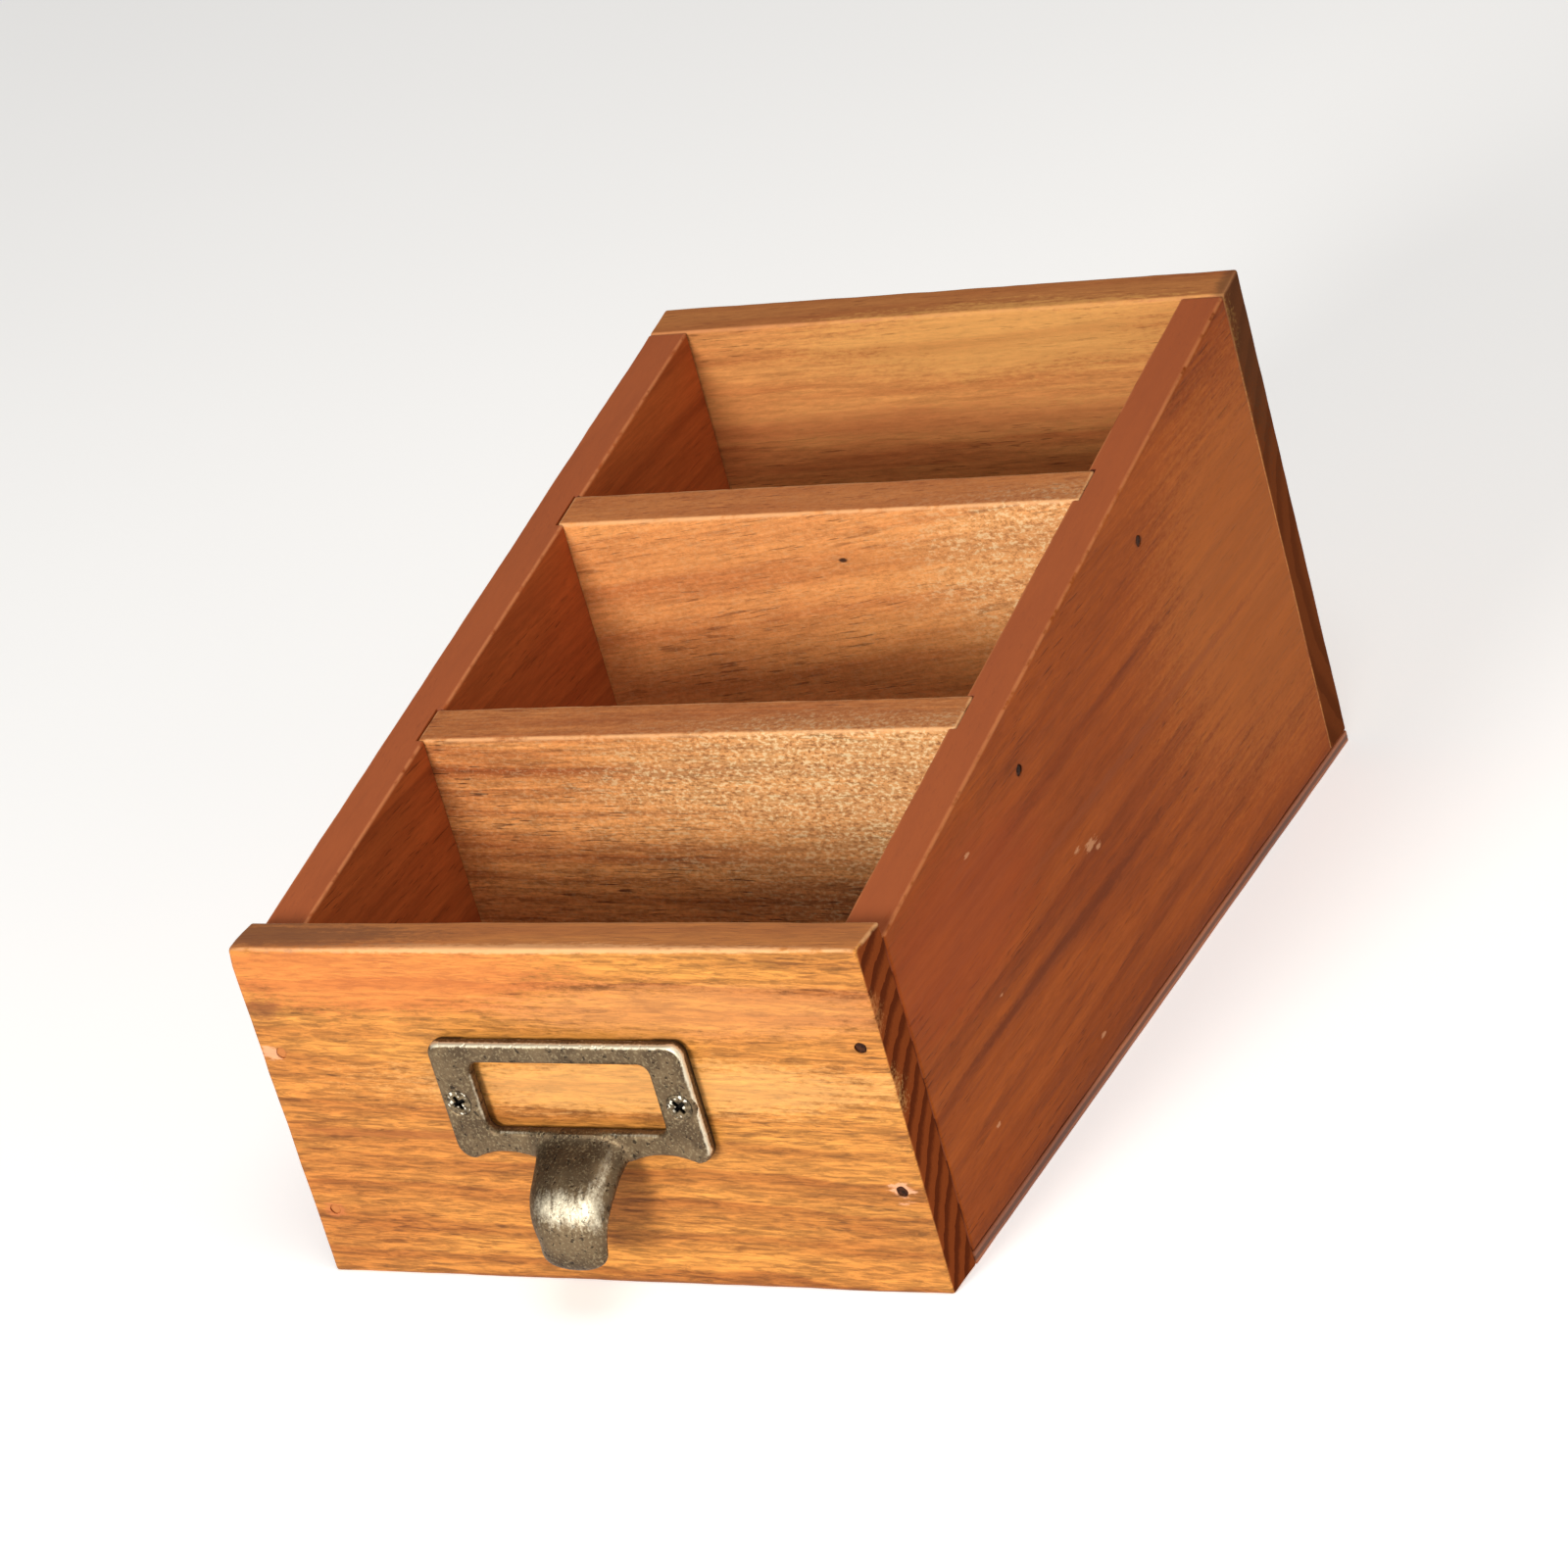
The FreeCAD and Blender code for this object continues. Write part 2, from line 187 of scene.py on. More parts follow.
FRONT_LOW, FRONT_HIGH = span("front_panel")
BACK_LOW, BACK_HIGH = span("back_panel")
PULL_LOW, PULL_HIGH = span("label_pull")
FRONT_FACE = FRONT_LOW[1]
FRONT_INNER = FRONT_HIGH[1]
BACK_FACE = BACK_HIGH[1]
TOP_RISE = (BACK_HIGH[2] - SIDE_FRONT_HEIGHT) / (BACK_FACE - FRONT_INNER)


def top_at(y):
    """Height of the sloping rim at a depth."""
    return SIDE_FRONT_HEIGHT + TOP_RISE * (y - FRONT_INNER)


def darker(color, share):
    return tuple(value * share for value in color)


def srgb(red, green, blue):
    """A linear colour from eight-bit sRGB values."""
    def linear(value):
        value /= 255
        return value / 12.92 if value <= 0.04045 else ((value + 0.055) / 1.055) ** 2.4
    return (linear(red), linear(green), linear(blue), 1.0)


# Colours that several materials or marks share, in sRGB.
DARK_HOLE = (58, 28, 16)
PALE_SCUFF = (236, 176, 138)
NAIL_STAIN = (196, 122, 66)
DRY_WOOD = (236, 186, 124)
DRY_FIBRE = (255, 228, 176)


# Shader building.

class Net:
    """Short calls that add and link the nodes of one material."""

    def __init__(self, name):
        self.material = bpy.data.materials.new(name)
        self.material.use_nodes = True
        self.tree = self.material.node_tree
        self.tree.nodes.clear()
        self.shader = self.tree.nodes.new("ShaderNodeBsdfPrincipled")
        output = self.tree.nodes.new("ShaderNodeOutputMaterial")
        self.tree.links.new(self.shader.outputs["BSDF"], output.inputs["Surface"])

    def feed(self, socket, value):
        if isinstance(value, bpy.types.NodeSocket):
            self.tree.links.new(value, socket)
        else:
            socket.default_value = value

    def add(self, kind, inputs=None, **settings):
        node = self.tree.nodes.new(kind)
        for key, value in settings.items():
            setattr(node, key, value)
        for key, value in (inputs or {}).items():
            self.feed(node.inputs[key], value)
        return node

    def math(self, operation, first, second=0.0, third=0.0, clamp=False):
        inputs = {0: first, 1: second, 2: third}
        return self.add("ShaderNodeMath", inputs, operation=operation, use_clamp=clamp).outputs[0]

    def scaled(self, value, factor, plus=0.0):
        return self.math("MULTIPLY_ADD", value, factor, plus)

    def plus(self, first, second):
        return self.math("ADD", first, second)

    def times(self, first, second):
        return self.math("MULTIPLY", first, second)

    def smooth(self, value, low, high):
        """0 below low, 1 above high and a smooth step between them."""
        inputs = {"Value": value, "From Min": low, "From Max": high}
        return self.add("ShaderNodeMapRange", inputs, interpolation_type="SMOOTHSTEP").outputs["Result"]

    def vector(self, x, y, z):
        return self.add("ShaderNodeCombineXYZ", {0: x, 1: y, 2: z}).outputs[0]

    def noise(self, vector, scale=1.0, detail=3.0, rough=0.55, twist=0.0):
        inputs = {"Vector": vector, "Scale": scale, "Detail": detail, "Roughness": rough, "Distortion": twist}
        return self.add("ShaderNodeTexNoise", inputs).outputs["Fac"]

    def mix(self, factor, first, second, blend="MIX"):
        node = self.add("ShaderNodeMix", data_type="RGBA", blend_type=blend, clamp_factor=True)
        self.feed(node.inputs[0], factor)
        self.feed(node.inputs[6], first)
        self.feed(node.inputs[7], second)
        return node.outputs[2]

    def tint(self, color, factor, strength, cover):
        """The colour with an sRGB one laid over it, as far as factor times strength says."""
        return self.mix(self.scaled(factor, strength), color, srgb(*cover))

    def toned(self, color, tone):
        """The colour made lighter or darker."""
        return self.mix(1.0, color, self.vector(tone, tone, tone), "MULTIPLY")

    def stretched(self, axes, factors):
        """A point with its axes scaled, which squeezes a pattern or draws it out."""
        return self.vector(*(self.scaled(axis, factor) for axis, factor in zip(axes, factors)))

    def place(self):
        """The point being shaded, in millimetres in the row frame, and its x, y and z."""
        coordinates = self.add("ShaderNodeTexCoord").outputs["Object"]
        inputs = {0: coordinates, "Scale": METRE}
        point = self.add("ShaderNodeVectorMath", inputs, operation="SCALE").outputs[0]
        return point, *self.add("ShaderNodeSeparateXYZ", {0: point}).outputs

    def normal(self):
        geometry = self.add("ShaderNodeNewGeometry").outputs["Normal"]
        return self.add("ShaderNodeSeparateXYZ", {0: geometry}).outputs

    def attribute(self, name):
        return self.add("ShaderNodeAttribute", attribute_name=name).outputs["Fac"]

    def bump(self, height, depth):
        """Relief of 'depth' millimetres where height goes from 0 to 1."""
        inputs = {"Height": height, "Distance": depth / METRE, "Strength": 1.0}
        return self.add("ShaderNodeBump", inputs).outputs["Normal"]

    def finish(self, color, roughness, normal, **uniform):
        self.feed(self.shader.inputs["Base Color"], color)
        self.feed(self.shader.inputs["Roughness"], roughness)
        self.feed(self.shader.inputs["Normal"], normal)
        for key, value in uniform.items():
            self.shader.inputs[key].default_value = value
        return self.material


@dataclass
class Mark:
    """A mark on a board: where it is, how far it reaches each way and what colour it turns the wood."""
    place: tuple
    reach: tuple
    color: tuple
    strength: float = 0.8
    ragged: float = 0.5


@dataclass
class Wood:
    """How one board is cut and stained. Colours are sRGB, and lengths are millimetres."""
    early: tuple                    # the pale wood of a year's growth
    late: tuple                     # its dark line
    stain: tuple                    # where the stain has taken more
    end: tuple = (150, 84, 57)      # end grain
    end_late: tuple = (90, 46, 32)
    worn: tuple = (238, 178, 122)
    along: int = 0                  # the axis that the grain follows
    pith: tuple = (60.0, -60.0)     # the tree's centre, on the other two axes
    lean: tuple = (0.0, 0.0)        # how far the centre runs off for each millimetre along the grain
    ring: float = 5.0
    ring_strength: float = 0.5
    wander: float = 3.0
    bands: float = 0.5              # broad uneven bands along the grain
    fibre: float = 0.3
    figure: float = 0.1             # short curly light and dark fibres
    fuzz: float = 0.15
    dashes: float = 0.5
    streaks: float = 0.3            # short wavy dark streaks, as dirt in open grain leaves
    blotch: float = 0.3
    top: tuple = (170, 98, 54)      # the board's top edge: stain and painted shade
    top_strength: float = 0.6
    wear: float = 0.8
    roughness: float = 0.5
    shine: float = 0.3
    relief: float = 0.06
    seed: float = 0.0
    sheen: tuple = ()               # (place, reach, strength) of a dry, rough patch that looks sandy
    marks: list = field(default_factory=list)


def nearness(net, point, place, reach, ragged, noise_value):
    """1 at the middle of an ellipsoid and 0 outside it, with a ragged edge."""
    offsets = [net.scaled(axis, 1 / size, -centre / size) for axis, centre, size in zip(point, place, reach)]
    distance = net.add("ShaderNodeVectorMath", {0: net.vector(*offsets)}, operation="LENGTH")
    shifted = net.plus(distance.outputs["Value"], net.scaled(noise_value, -ragged * 3, ragged * 1.5))
    return net.smooth(shifted, 1.0, 0.45)


def wood(name, cut):
    """Solid pine: growth rings round a pith, fibres, pore dashes, uneven stain and worn edges."""
    net = Net(name)
    point, x, y, z = net.place()
    axes = [x, y, z]
    run = axes.pop(cut.along)
    along = net.scaled(run, 1.0, cut.seed * 97.0)
    first, second = (net.math("SUBTRACT", axis, net.scaled(run, lean)) for axis, lean in zip(axes, cut.lean))

    def grain(stretch, across, detail=3.0, rough=0.55, twist=0.0):
        """Noise drawn out along the grain."""
        vector = net.stretched((along, first, second), (stretch, across, across))
        return net.noise(vector, 1.0, detail, rough, twist)

    # The ring that this point lies in, with the trunk's bends and swellings.
    offsets = [net.scaled(axis, 1.0, -centre) for axis, centre in zip((first, second), cut.pith)]
    from_pith = net.add("ShaderNodeVectorMath", {0: net.vector(*offsets, 0.0)},
                        operation="LENGTH").outputs["Value"]
    wandered = net.plus(from_pith, net.scaled(grain(0.014, 0.02, 2.0), cut.wander * 2))
    wandered = net.plus(wandered, net.scaled(grain(0.045, 0.25, 3.0), cut.wander * 0.6))
    years = net.scaled(wandered, 1 / cut.ring)
    season = net.math("FRACT", years)
    year = net.math("FLOOR", years)
    ring_depth = net.noise(net.vector(net.scaled(year, 3.7), cut.seed, 0.5), 1.0, 0.0)
    late = net.times(net.smooth(season, 0.15, 0.9), net.smooth(season, 1.0, 0.92))
    ring_line = net.times(late, net.smooth(ring_depth, 0.25, 0.7))

    # Bands, fibres, pore dashes, raised fuzz and the uneven take-up of the stain.
    band = grain(0.009, 0.2, 4.0, 0.6)
    fibre = grain(0.05, 1.0, 4.0, 0.65)
    pore = grain(0.14, 1.9, 2.0)
    patches = grain(0.015, 0.06, 2.0)
    fuzz = grain(0.5, 1.5, 3.0, 0.7)
    blotch = grain(0.012, 0.03, 3.0)
    dash = net.times(net.smooth(pore, 0.6, 0.7), net.smooth(patches, 0.4, 0.6))
    streak = net.times(net.smooth(grain(0.07, 0.75, 3.0, 0.6), 0.56, 0.68),
                       net.smooth(grain(0.02, 0.05, 2.0), 0.38, 0.6))

    banding = net.scaled(band, 4 * cut.bands, -1.7 * cut.bands)
    depth = net.math("ADD", net.scaled(ring_line, cut.ring_strength), banding, clamp=True)
    color = net.mix(depth, srgb(*cut.early), srgb(*cut.late))
    color = net.tint(color, net.smooth(blotch, 0.42, 0.68), cut.blotch, cut.stain)
    tone = net.plus(net.scaled(fibre, 2 * cut.fibre, 1 - cut.fibre - cut.fuzz),
                    net.scaled(fuzz, 2 * cut.fuzz))
    curl = net.smooth(grain(0.13, 1.1, 4.0, 0.72, 0.7), 0.36, 0.64)
    tone = net.plus(tone, net.scaled(curl, 2 * cut.figure, -cut.figure))
    color = net.toned(color, tone)
    color = net.tint(color, dash, cut.dashes, darker(cut.late, 0.5))
    color = net.tint(color, streak, cut.streaks, darker(cut.late, 0.7))
    if cut.sheen:
        place, reach, strength = cut.sheen
        dry = nearness(net, (x, y, z), place, reach, 0.25, patches)
        sand = net.noise(net.stretched((x, y, z), (0.7, 1.0, 1.2)), 1.15, 2.0, 0.7)
        color = net.tint(color, dry, strength * 0.5, DRY_WOOD)
        light = net.times(net.scaled(dry, 0.85, 0.15), net.smooth(sand, 0.52, 0.62))
        color = net.tint(color, light, strength * 0.8, DRY_FIBRE)
        pit = net.times(net.scaled(dry, 0.6, 0.4), net.smooth(sand, 0.46, 0.34))
        color = net.tint(color, pit, strength * 0.7, darker(cut.late, 0.75))

    # The top edge takes a darker tint, partly stain and partly painted shade; the end grain drinks more
    # stain, and arrises lose it.
    normals = net.normal()
    upward = net.smooth(normals[2], 0.75, 0.95)
    color = net.tint(color, upward, cut.top_strength, cut.top)
    end = net.smooth(net.math("ABSOLUTE", normals[cut.along]), 0.6, 0.95)
    end_line = net.smooth(net.plus(late, net.scaled(fuzz, 0.5, -0.25)), 0.1, 0.9)
    end_color = net.mix(end_line, srgb(*cut.end), srgb(*cut.end_late))
    color = net.mix(end, color, end_color)
    rub = net.noise(point, 0.25, 4.0)
    wear = net.times(net.smooth(net.attribute("wear"), 0.2, 0.8), net.smooth(rub, 0.3, 0.52))
    color = net.tint(color, wear, cut.wear, cut.worn)
    edge_noise = net.scaled(net.plus(fibre, fuzz), 0.5)
    for mark in cut.marks:
        inside = nearness(net, (x, y, z), mark.place, mark.reach, mark.ragged, edge_noise)
        color = net.tint(color, inside, mark.strength, mark.color)

    roughness = net.plus(net.scaled(fibre, 0.25, cut.roughness - 0.15), net.scaled(blotch, 0.1))
    relief = net.plus(net.scaled(fibre, 0.6), net.scaled(fuzz, 0.2 + cut.fuzz))
    relief = net.math("SUBTRACT", relief, net.scaled(dash, 0.5))
    net.feed(net.shader.inputs["Specular IOR Level"], net.scaled(end, -cut.shine, cut.shine))
    return net.finish(color, roughness, net.bump(relief, cut.relief))


def plywood(name, face, ply):
    """Thin stained plywood: long grain on the faces and three bands on the edges."""
    net = Net(name)
    _, x, y, z = net.place()
    fibre = net.noise(net.stretched((x, y, z), (0.9, 0.04, 0.9)), 1.0, 4.0)
    flow = net.noise(net.stretched((x, y, z), (0.09, 0.012, 0.2)), 1.0, 3.0)
    color = net.mix(net.smooth(flow, 0.35, 0.65), srgb(*face), srgb(*ply))
    across = net.noise(net.stretched((x, y, z), (0.7, 0.7, 3.0)), 1.0, 3.0)
    core = net.times(net.smooth(z, 0.9, 1.1), net.smooth(z, 2.1, 1.9))
    edge = net.smooth(net.math("ABSOLUTE", net.normal()[2]), 0.5, 0.3)
    core = net.times(core, edge)
    color = net.tint(color, core, 0.7, darker(ply, 0.5))
    tone = net.scaled(net.plus(fibre, net.scaled(across, 0.4)), 0.6, 0.6)
    color = net.toned(color, tone)
    return net.finish(color, net.scaled(fibre, 0.25, 0.45), net.bump(fibre, 0.05))


def bronze(name):
    """Cast metal with a brown patina that is darker at the hook's root, rubbed bright where fingers and edges
    wear with a painted highlight laid in, and painted shade on the plate's walls by the wood, on the hook's
    flanks and under its curled tip.
    """
    net = Net(name)
    point, x, y, z = net.place()
    cloud = net.noise(point, 0.16, 4.0, 0.6)
    grain = net.noise(point, 1.6, 4.0, 0.65)
    pits = net.noise(point, 0.9, 2.0)
    scratch = net.noise(net.stretched((x, y, z), (0.9, 0.25, 0.25)), 1.0, 3.0)
    color = net.mix(net.smooth(cloud, 0.35, 0.65), srgb(*PATINA["light"]), srgb(*PATINA["dark"]))
    out = net.scaled(y, -1.0, FRONT_FACE)
    # Painted shade on the plate's side walls next to the wood, darkest nearest the panel.
    wall_shade = net.smooth(out, PLATE_FRONT - 1.6, PLATE_FRONT - 2.4)
    root = nearness(net, (x, out, z), ROOT_GRIME[0], ROOT_GRIME[1], 0.5, grain)
    color = net.tint(color, root, 0.45, PATINA["root"])
    # Painted shade under the hook's curled tip, where its surface turns down.
    tip = net.times(net.smooth(z, TIP_SHADE_HEIGHT, PULL_LOW[2]), net.smooth(out, 8.0, 11.0))
    color = net.tint(color, tip, 0.6, PATINA["tip"])
    color = net.tint(color, net.smooth(grain, 0.5, 0.68), 0.65, PATINA["speck"])
    color = net.tint(color, net.smooth(pits, 0.4, 0.3), 0.8, PATINA["pit"])
    color = net.tint(color, wall_shade, 0.9, PATINA["wall_shade"])
    rub = net.plus(net.attribute("wear"), net.scaled(grain, 0.6, -0.3))
    rub = net.plus(rub, net.scaled(scratch, 0.8, -0.4))
    rub = net.times(rub, net.scaled(root, -0.8, 1.0))
    # Rubbed metal: wear, and a painted highlight on arrises facing up or right and on the hook's swelling.
    bright = net.smooth(rub, 0.25, 0.85)
    color = net.tint(color, bright, 0.9, PATINA["worn"])
    # Painted shade on the hook's long flanks, which face away from the light.
    flank_shade = net.times(net.smooth(net.math("ABSOLUTE", x), 8.8, 9.8), net.smooth(out, 5.0, 6.5))
    color = net.tint(color, flank_shade, 0.5, PATINA["flank_shade"])
    roughness = net.plus(net.scaled(bright, -0.02, 0.52), net.scaled(grain, 0.12, -0.06))
    relief = net.plus(net.scaled(grain, 0.6), net.smooth(pits, 0.3, 0.42))
    relief = net.plus(relief, net.scaled(scratch, 0.6))
    return net.finish(color, roughness, net.bump(relief, 0.09), Metallic=0.85)


def spotted(net, point, fresh, old):
    """Metal with brown spots."""
    return net.mix(net.smooth(net.noise(point, 1.1, 4.0, 0.6), 0.4, 0.62), srgb(*fresh), srgb(*old))


def nail_wire():
    """Dull wire, stained over where the nails are in the left end of the front panel."""
    net = Net("nail_wire")
    point, x, y, _ = net.place()
    scratches = net.noise(point, 5.0, 2.0)
    color = spotted(net, point, (70, 38, 22), (38, 20, 11))
    in_front = net.smooth(y, FRONT_FACE + 8.0, FRONT_FACE + 2.0)
    stained = net.times(net.smooth(x, 0.0, -20.0), in_front)
    color = net.tint(color, stained, 0.85, NAIL_STAIN)
    return net.finish(color, net.scaled(scratches, 0.2, 0.55), net.bump(scratches, 0.02),
                      **{"Specular IOR Level": 0.1})


def screw_metal():
    """Tarnished screws, with painted shade making the inside of the cross black and painted glints spotted
    over the heads.
    """
    net = Net("screw_metal")
    point, _, y, _ = net.place()
    scratches = net.noise(point, 5.0, 2.0)
    glints = net.smooth(net.noise(point, 1.0, 1.0), 0.57, 0.66)
    color = net.mix(glints, spotted(net, point, (128, 112, 86), (66, 55, 42)), srgb(250, 244, 226))
    # Painted shade inside the cross's recess.
    recess = net.smooth(net.scaled(y, -1.0, FRONT_FACE), PLATE_FRONT - 0.12, PLATE_FRONT - 0.4)
    color = net.mix(recess, color, srgb(16, 12, 9))
    return net.finish(color, net.scaled(scratches, 0.2, 0.26), net.bump(scratches, 0.02), Metallic=0.85)


def floor_paint():
    net = Net("studio_floor")
    drift = net.noise(net.place()[0], 0.004, 2.0)
    color = net.mix(drift, srgb(250, 250, 249), srgb(244, 244, 243))
    return net.finish(color, net.scaled(drift, 0.1, 0.75), net.bump(drift, 0.02),
                      **{"Emission Color": (1.0, 1.0, 1.0, 1.0), "Emission Strength": FLOOR_GLOW})


# Mesh building.

def make_object(name, points, faces, material):
    """An object from points in millimetres."""
    mesh = bpy.data.meshes.new(name)
    mesh.from_pydata([tuple(point / METRE) for point in np.asarray(points, float)], [], faces)
    mesh.materials.append(material)
    item = bpy.data.objects.new(name, mesh)
    bpy.context.scene.collection.objects.link(item)
    return item


def positions(item):
    """An object's vertices in millimetres, as an array."""
    flat = np.empty(len(item.data.vertices) * 3)
    item.data.vertices.foreach_get("co", flat)
    return flat.reshape(-1, 3) * METRE


def set_positions(item, points):
    item.data.vertices.foreach_set("co", (points / METRE).ravel())
    item.data.update()


def apply_modifiers(item):
    bpy.context.view_layer.update()
    graph = bpy.context.evaluated_depsgraph_get()
    mesh = bpy.data.meshes.new_from_object(item.evaluated_get(graph))
    item.modifiers.clear()
    item.data = mesh


def carve(item, cutters):
    """Cuts the cutters out of an object and deletes them."""
    for cutter in cutters:
        tool = item.modifiers.new("cut", "BOOLEAN")
        tool.operation = "DIFFERENCE"
        tool.solver = "EXACT"
        tool.object = cutter
    apply_modifiers(item)
    for cutter in cutters:
        bpy.data.objects.remove(cutter)


def shade(item):
    """Smooth shading that stops at sharp edges."""
    shape = bmesh.new()
    shape.from_mesh(item.data)
    for face in shape.faces:
        face.smooth = True
    for edge in shape.edges:
        edge.smooth = edge.calc_face_angle(math.pi) < SHARP_ANGLE
    shape.to_mesh(item.data)
    shape.free()


def set_wear(item, values):
    layer = item.data.attributes.new("wear", "FLOAT", "POINT")
    layer.data.foreach_set("value", np.clip(values, 0, 1).astype(np.float32))


def wander(point, scale, seed):
    """Smooth noise from -1 to 1 at a point."""
    return noise.noise(Vector(point) / scale + Vector((seed * 17.3, seed * 5.9, seed * 11.1)))


def rows(low, high, band, step):
    """Coordinates across a board: close rows for each arris and even ones between them."""
    count = max(1, round((high - low - 2 * band) / step))
    close = [band * fraction for fraction in ROW_FRACTIONS]
    middle = list(np.linspace(low + band, high - band, count + 1))
    return [low + part for part in close] + middle + [high - part for part in reversed(close)]


def block_surface(grids):
    """Points and faces of the surface of a block whose rows are given for each axis."""
    sizes = [len(grid) for grid in grids]
    index, points, faces = {}, [], []

    def corner(cell):
        if cell not in index:
            index[cell] = len(points)
            points.append([grids[axis][cell[axis]] for axis in range(3)])
        return index[cell]

    for axis in range(3):
        one, two = (axis + 1) % 3, (axis + 2) % 3
        for end in (0, sizes[axis] - 1):
            for i in range(sizes[one] - 1):
                for j in range(sizes[two] - 1):
                    ring = []
                    for di, dj in ((0, 0), (1, 0), (1, 1), (0, 1)):
                        cell = [0, 0, 0]
                        cell[axis], cell[one], cell[two] = end, i + di, j + dj
                        ring.append(corner(tuple(cell)))
                    faces.append(ring if end else ring[::-1])
    return np.array(points), faces


@dataclass
class Chip:
    """A place where a board's edge has been knocked rounder."""
    place: tuple
    reach: float
    radius: float


def arris_radius(point, radius, seed, chips):
    value = radius * (1 + ARRIS_VARIATION * wander(point, 14.0, seed)
                      + ARRIS_VARIATION * 0.5 * wander(point, 3.5, seed))
    for chip in chips:
        gap = math.dist(point, chip.place) / chip.reach
        value += chip.radius * math.exp(-gap * gap)
    return value


def board(name, node, material, seed, sloped=True, radius=ARRIS, chips=()):
    """A board that fills its CAD node's box, with worn arrises and faces that aren't quite flat."""
    low, high = span(node)
    if sloped:
        high[2] = top_at((low[1] + high[1]) / 2)
    band = radius * (1 + ARRIS_VARIATION)
    grids = [rows(low[axis], high[axis], band, BOARD_STEP) for axis in range(3)]
    points, faces = block_surface(grids)
    radii = np.array([arris_radius(point, radius, seed, chips) for point in points])[:, None]
    radii = np.minimum(radii, (high - low).min() / 2.2)
    core = np.clip(points, low + radii, high - radii)
    offset = points - core
    turned = offset / np.linalg.norm(offset, axis=1)[:, None]
    dips = np.array([UNEVENNESS * (0.5 + 0.5 * wander(point, 32.0, seed + 3)) for point in points])
    points = core + turned * radii - turned * np.abs(turned) * dips[:, None]
    if sloped:
        share = (points[:, 2] - low[2]) / (high[2] - low[2])
        points[:, 2] = low[2] + share * (top_at(points[:, 1]) - low[2])
    return make_object(name, points, faces, material)


def wear_board(item, node, sloped=True, radius=ARRIS):
    """Marks how near each vertex is to an arris of its board."""
    low, high = span(node)
    points = positions(item)
    top = top_at(points[:, 1]) if sloped else high[2]
    gaps = np.stack([np.minimum(points[:, 0] - low[0], high[0] - points[:, 0]),
                     np.minimum(points[:, 1] - low[1], high[1] - points[:, 1]),
                     np.minimum(points[:, 2] - low[2], top - points[:, 2])])
    second = np.sort(gaps, axis=0)[1]
    at_top = top - points[:, 2] <= second + 0.01
    set_wear(item, (1 - second / (1.5 * radius)) * np.where(at_top, 1.0, LOW_ARRIS_WEAR))


def loose_solids(node):
    """The points of each separate solid in a CAD node, in millimetres."""
    shape = bmesh.new()
    shape.from_mesh(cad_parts[node].data)
    bmesh.ops.remove_doubles(shape, verts=shape.verts, dist=1e-6)
    left = set(shape.verts)
    groups = []
    while left:
        start = left.pop()
        group, queue = [start], [start]
        while queue:
            for edge in queue.pop().link_edges:
                for vert in edge.verts:
                    if vert in left:
                        left.remove(vert)
                        group.append(vert)
                        queue.append(vert)
        groups.append(np.array([vert.co for vert in group]) * METRE)
    shape.free()
    return sorted(groups, key=lambda points: tuple(points.min(0).round(2)))


def driven(points, slice_depth=0.3):
    """Where a nail or screw enters the wood, its direction and its length: its head is the wide end."""
    low, high = points.min(0), points.max(0)
    axis = int(np.argmax(high - low))
    near_low = points[points[:, axis] < low[axis] + slice_depth]
    near_high = points[points[:, axis] > high[axis] - slice_depth]
    head_low = np.ptp(near_low, axis=0).max() > np.ptp(near_high, axis=0).max()
    head = (low + high) / 2
    head[axis] = low[axis] if head_low else high[axis]
    direction = np.zeros(3)
    direction[axis] = 1.0 if head_low else -1.0
    return head, direction, high[axis] - low[axis]


def tube_faces(levels, segments):
    """Faces of a tube whose points run ring by ring, closed at both ends."""
    faces = []
    for level in range(levels - 1):
        for step in range(segments):
            here, after = level * segments + step, level * segments + (step + 1) % segments
            faces.append([here, after, after + segments, here + segments])
    last = (levels - 1) * segments
    return faces + [list(range(segments))[::-1], [last + step for step in range(segments)]]


def turned_points(head, direction, depths, radius_at, segments):
    """Points and faces of a turned shape along 'direction', closed at both ends."""
    forward = Vector(direction)
    sideways = forward.orthogonal().normalized()
    other = forward.cross(sideways)
    start, points = Vector(head), []
    for depth in depths:
        for step in range(segments):
            angle = 2 * math.pi * step / segments
            radius = radius_at(depth, angle)
            points.append(start + forward * depth
                          + (sideways * math.cos(angle) + other * math.sin(angle)) * radius)
    return points, tube_faces(len(depths), segments)


def joined(name, shapes, material):
    """One object from several (points, faces) pairs."""
    points, faces = [], []
    for more_points, more_faces in shapes:
        first = len(points)
        points += [tuple(point) for point in more_points]
        faces += [[first + corner for corner in face] for face in more_faces]
    return make_object(name, points, faces, material)


def nail_shape(points):
    """A wire nail: a domed head, grip rings under it, a plain shank and a point."""
    head, direction, length = driven(points)
    profile = list(NAIL_HEAD_PROFILE)
    for ring in range(NAIL_GRIP_RINGS):
        profile += [(1.1 + 0.6 * ring, NAIL_SHANK), (1.35 + 0.6 * ring, NAIL_GRIP)]
    profile += [(4.3, NAIL_SHANK), (length - NAIL_POINT, NAIL_SHANK), (length, 0.1)]
    depths = [depth for depth, _ in profile]
    radii = dict(profile)
    wobble = head.sum()

    def radius_at(depth, angle):
        return radii[depth] * (1 + 0.03 * math.sin(3 * angle + wobble))

    return turned_points(head, direction, depths, radius_at, 24)


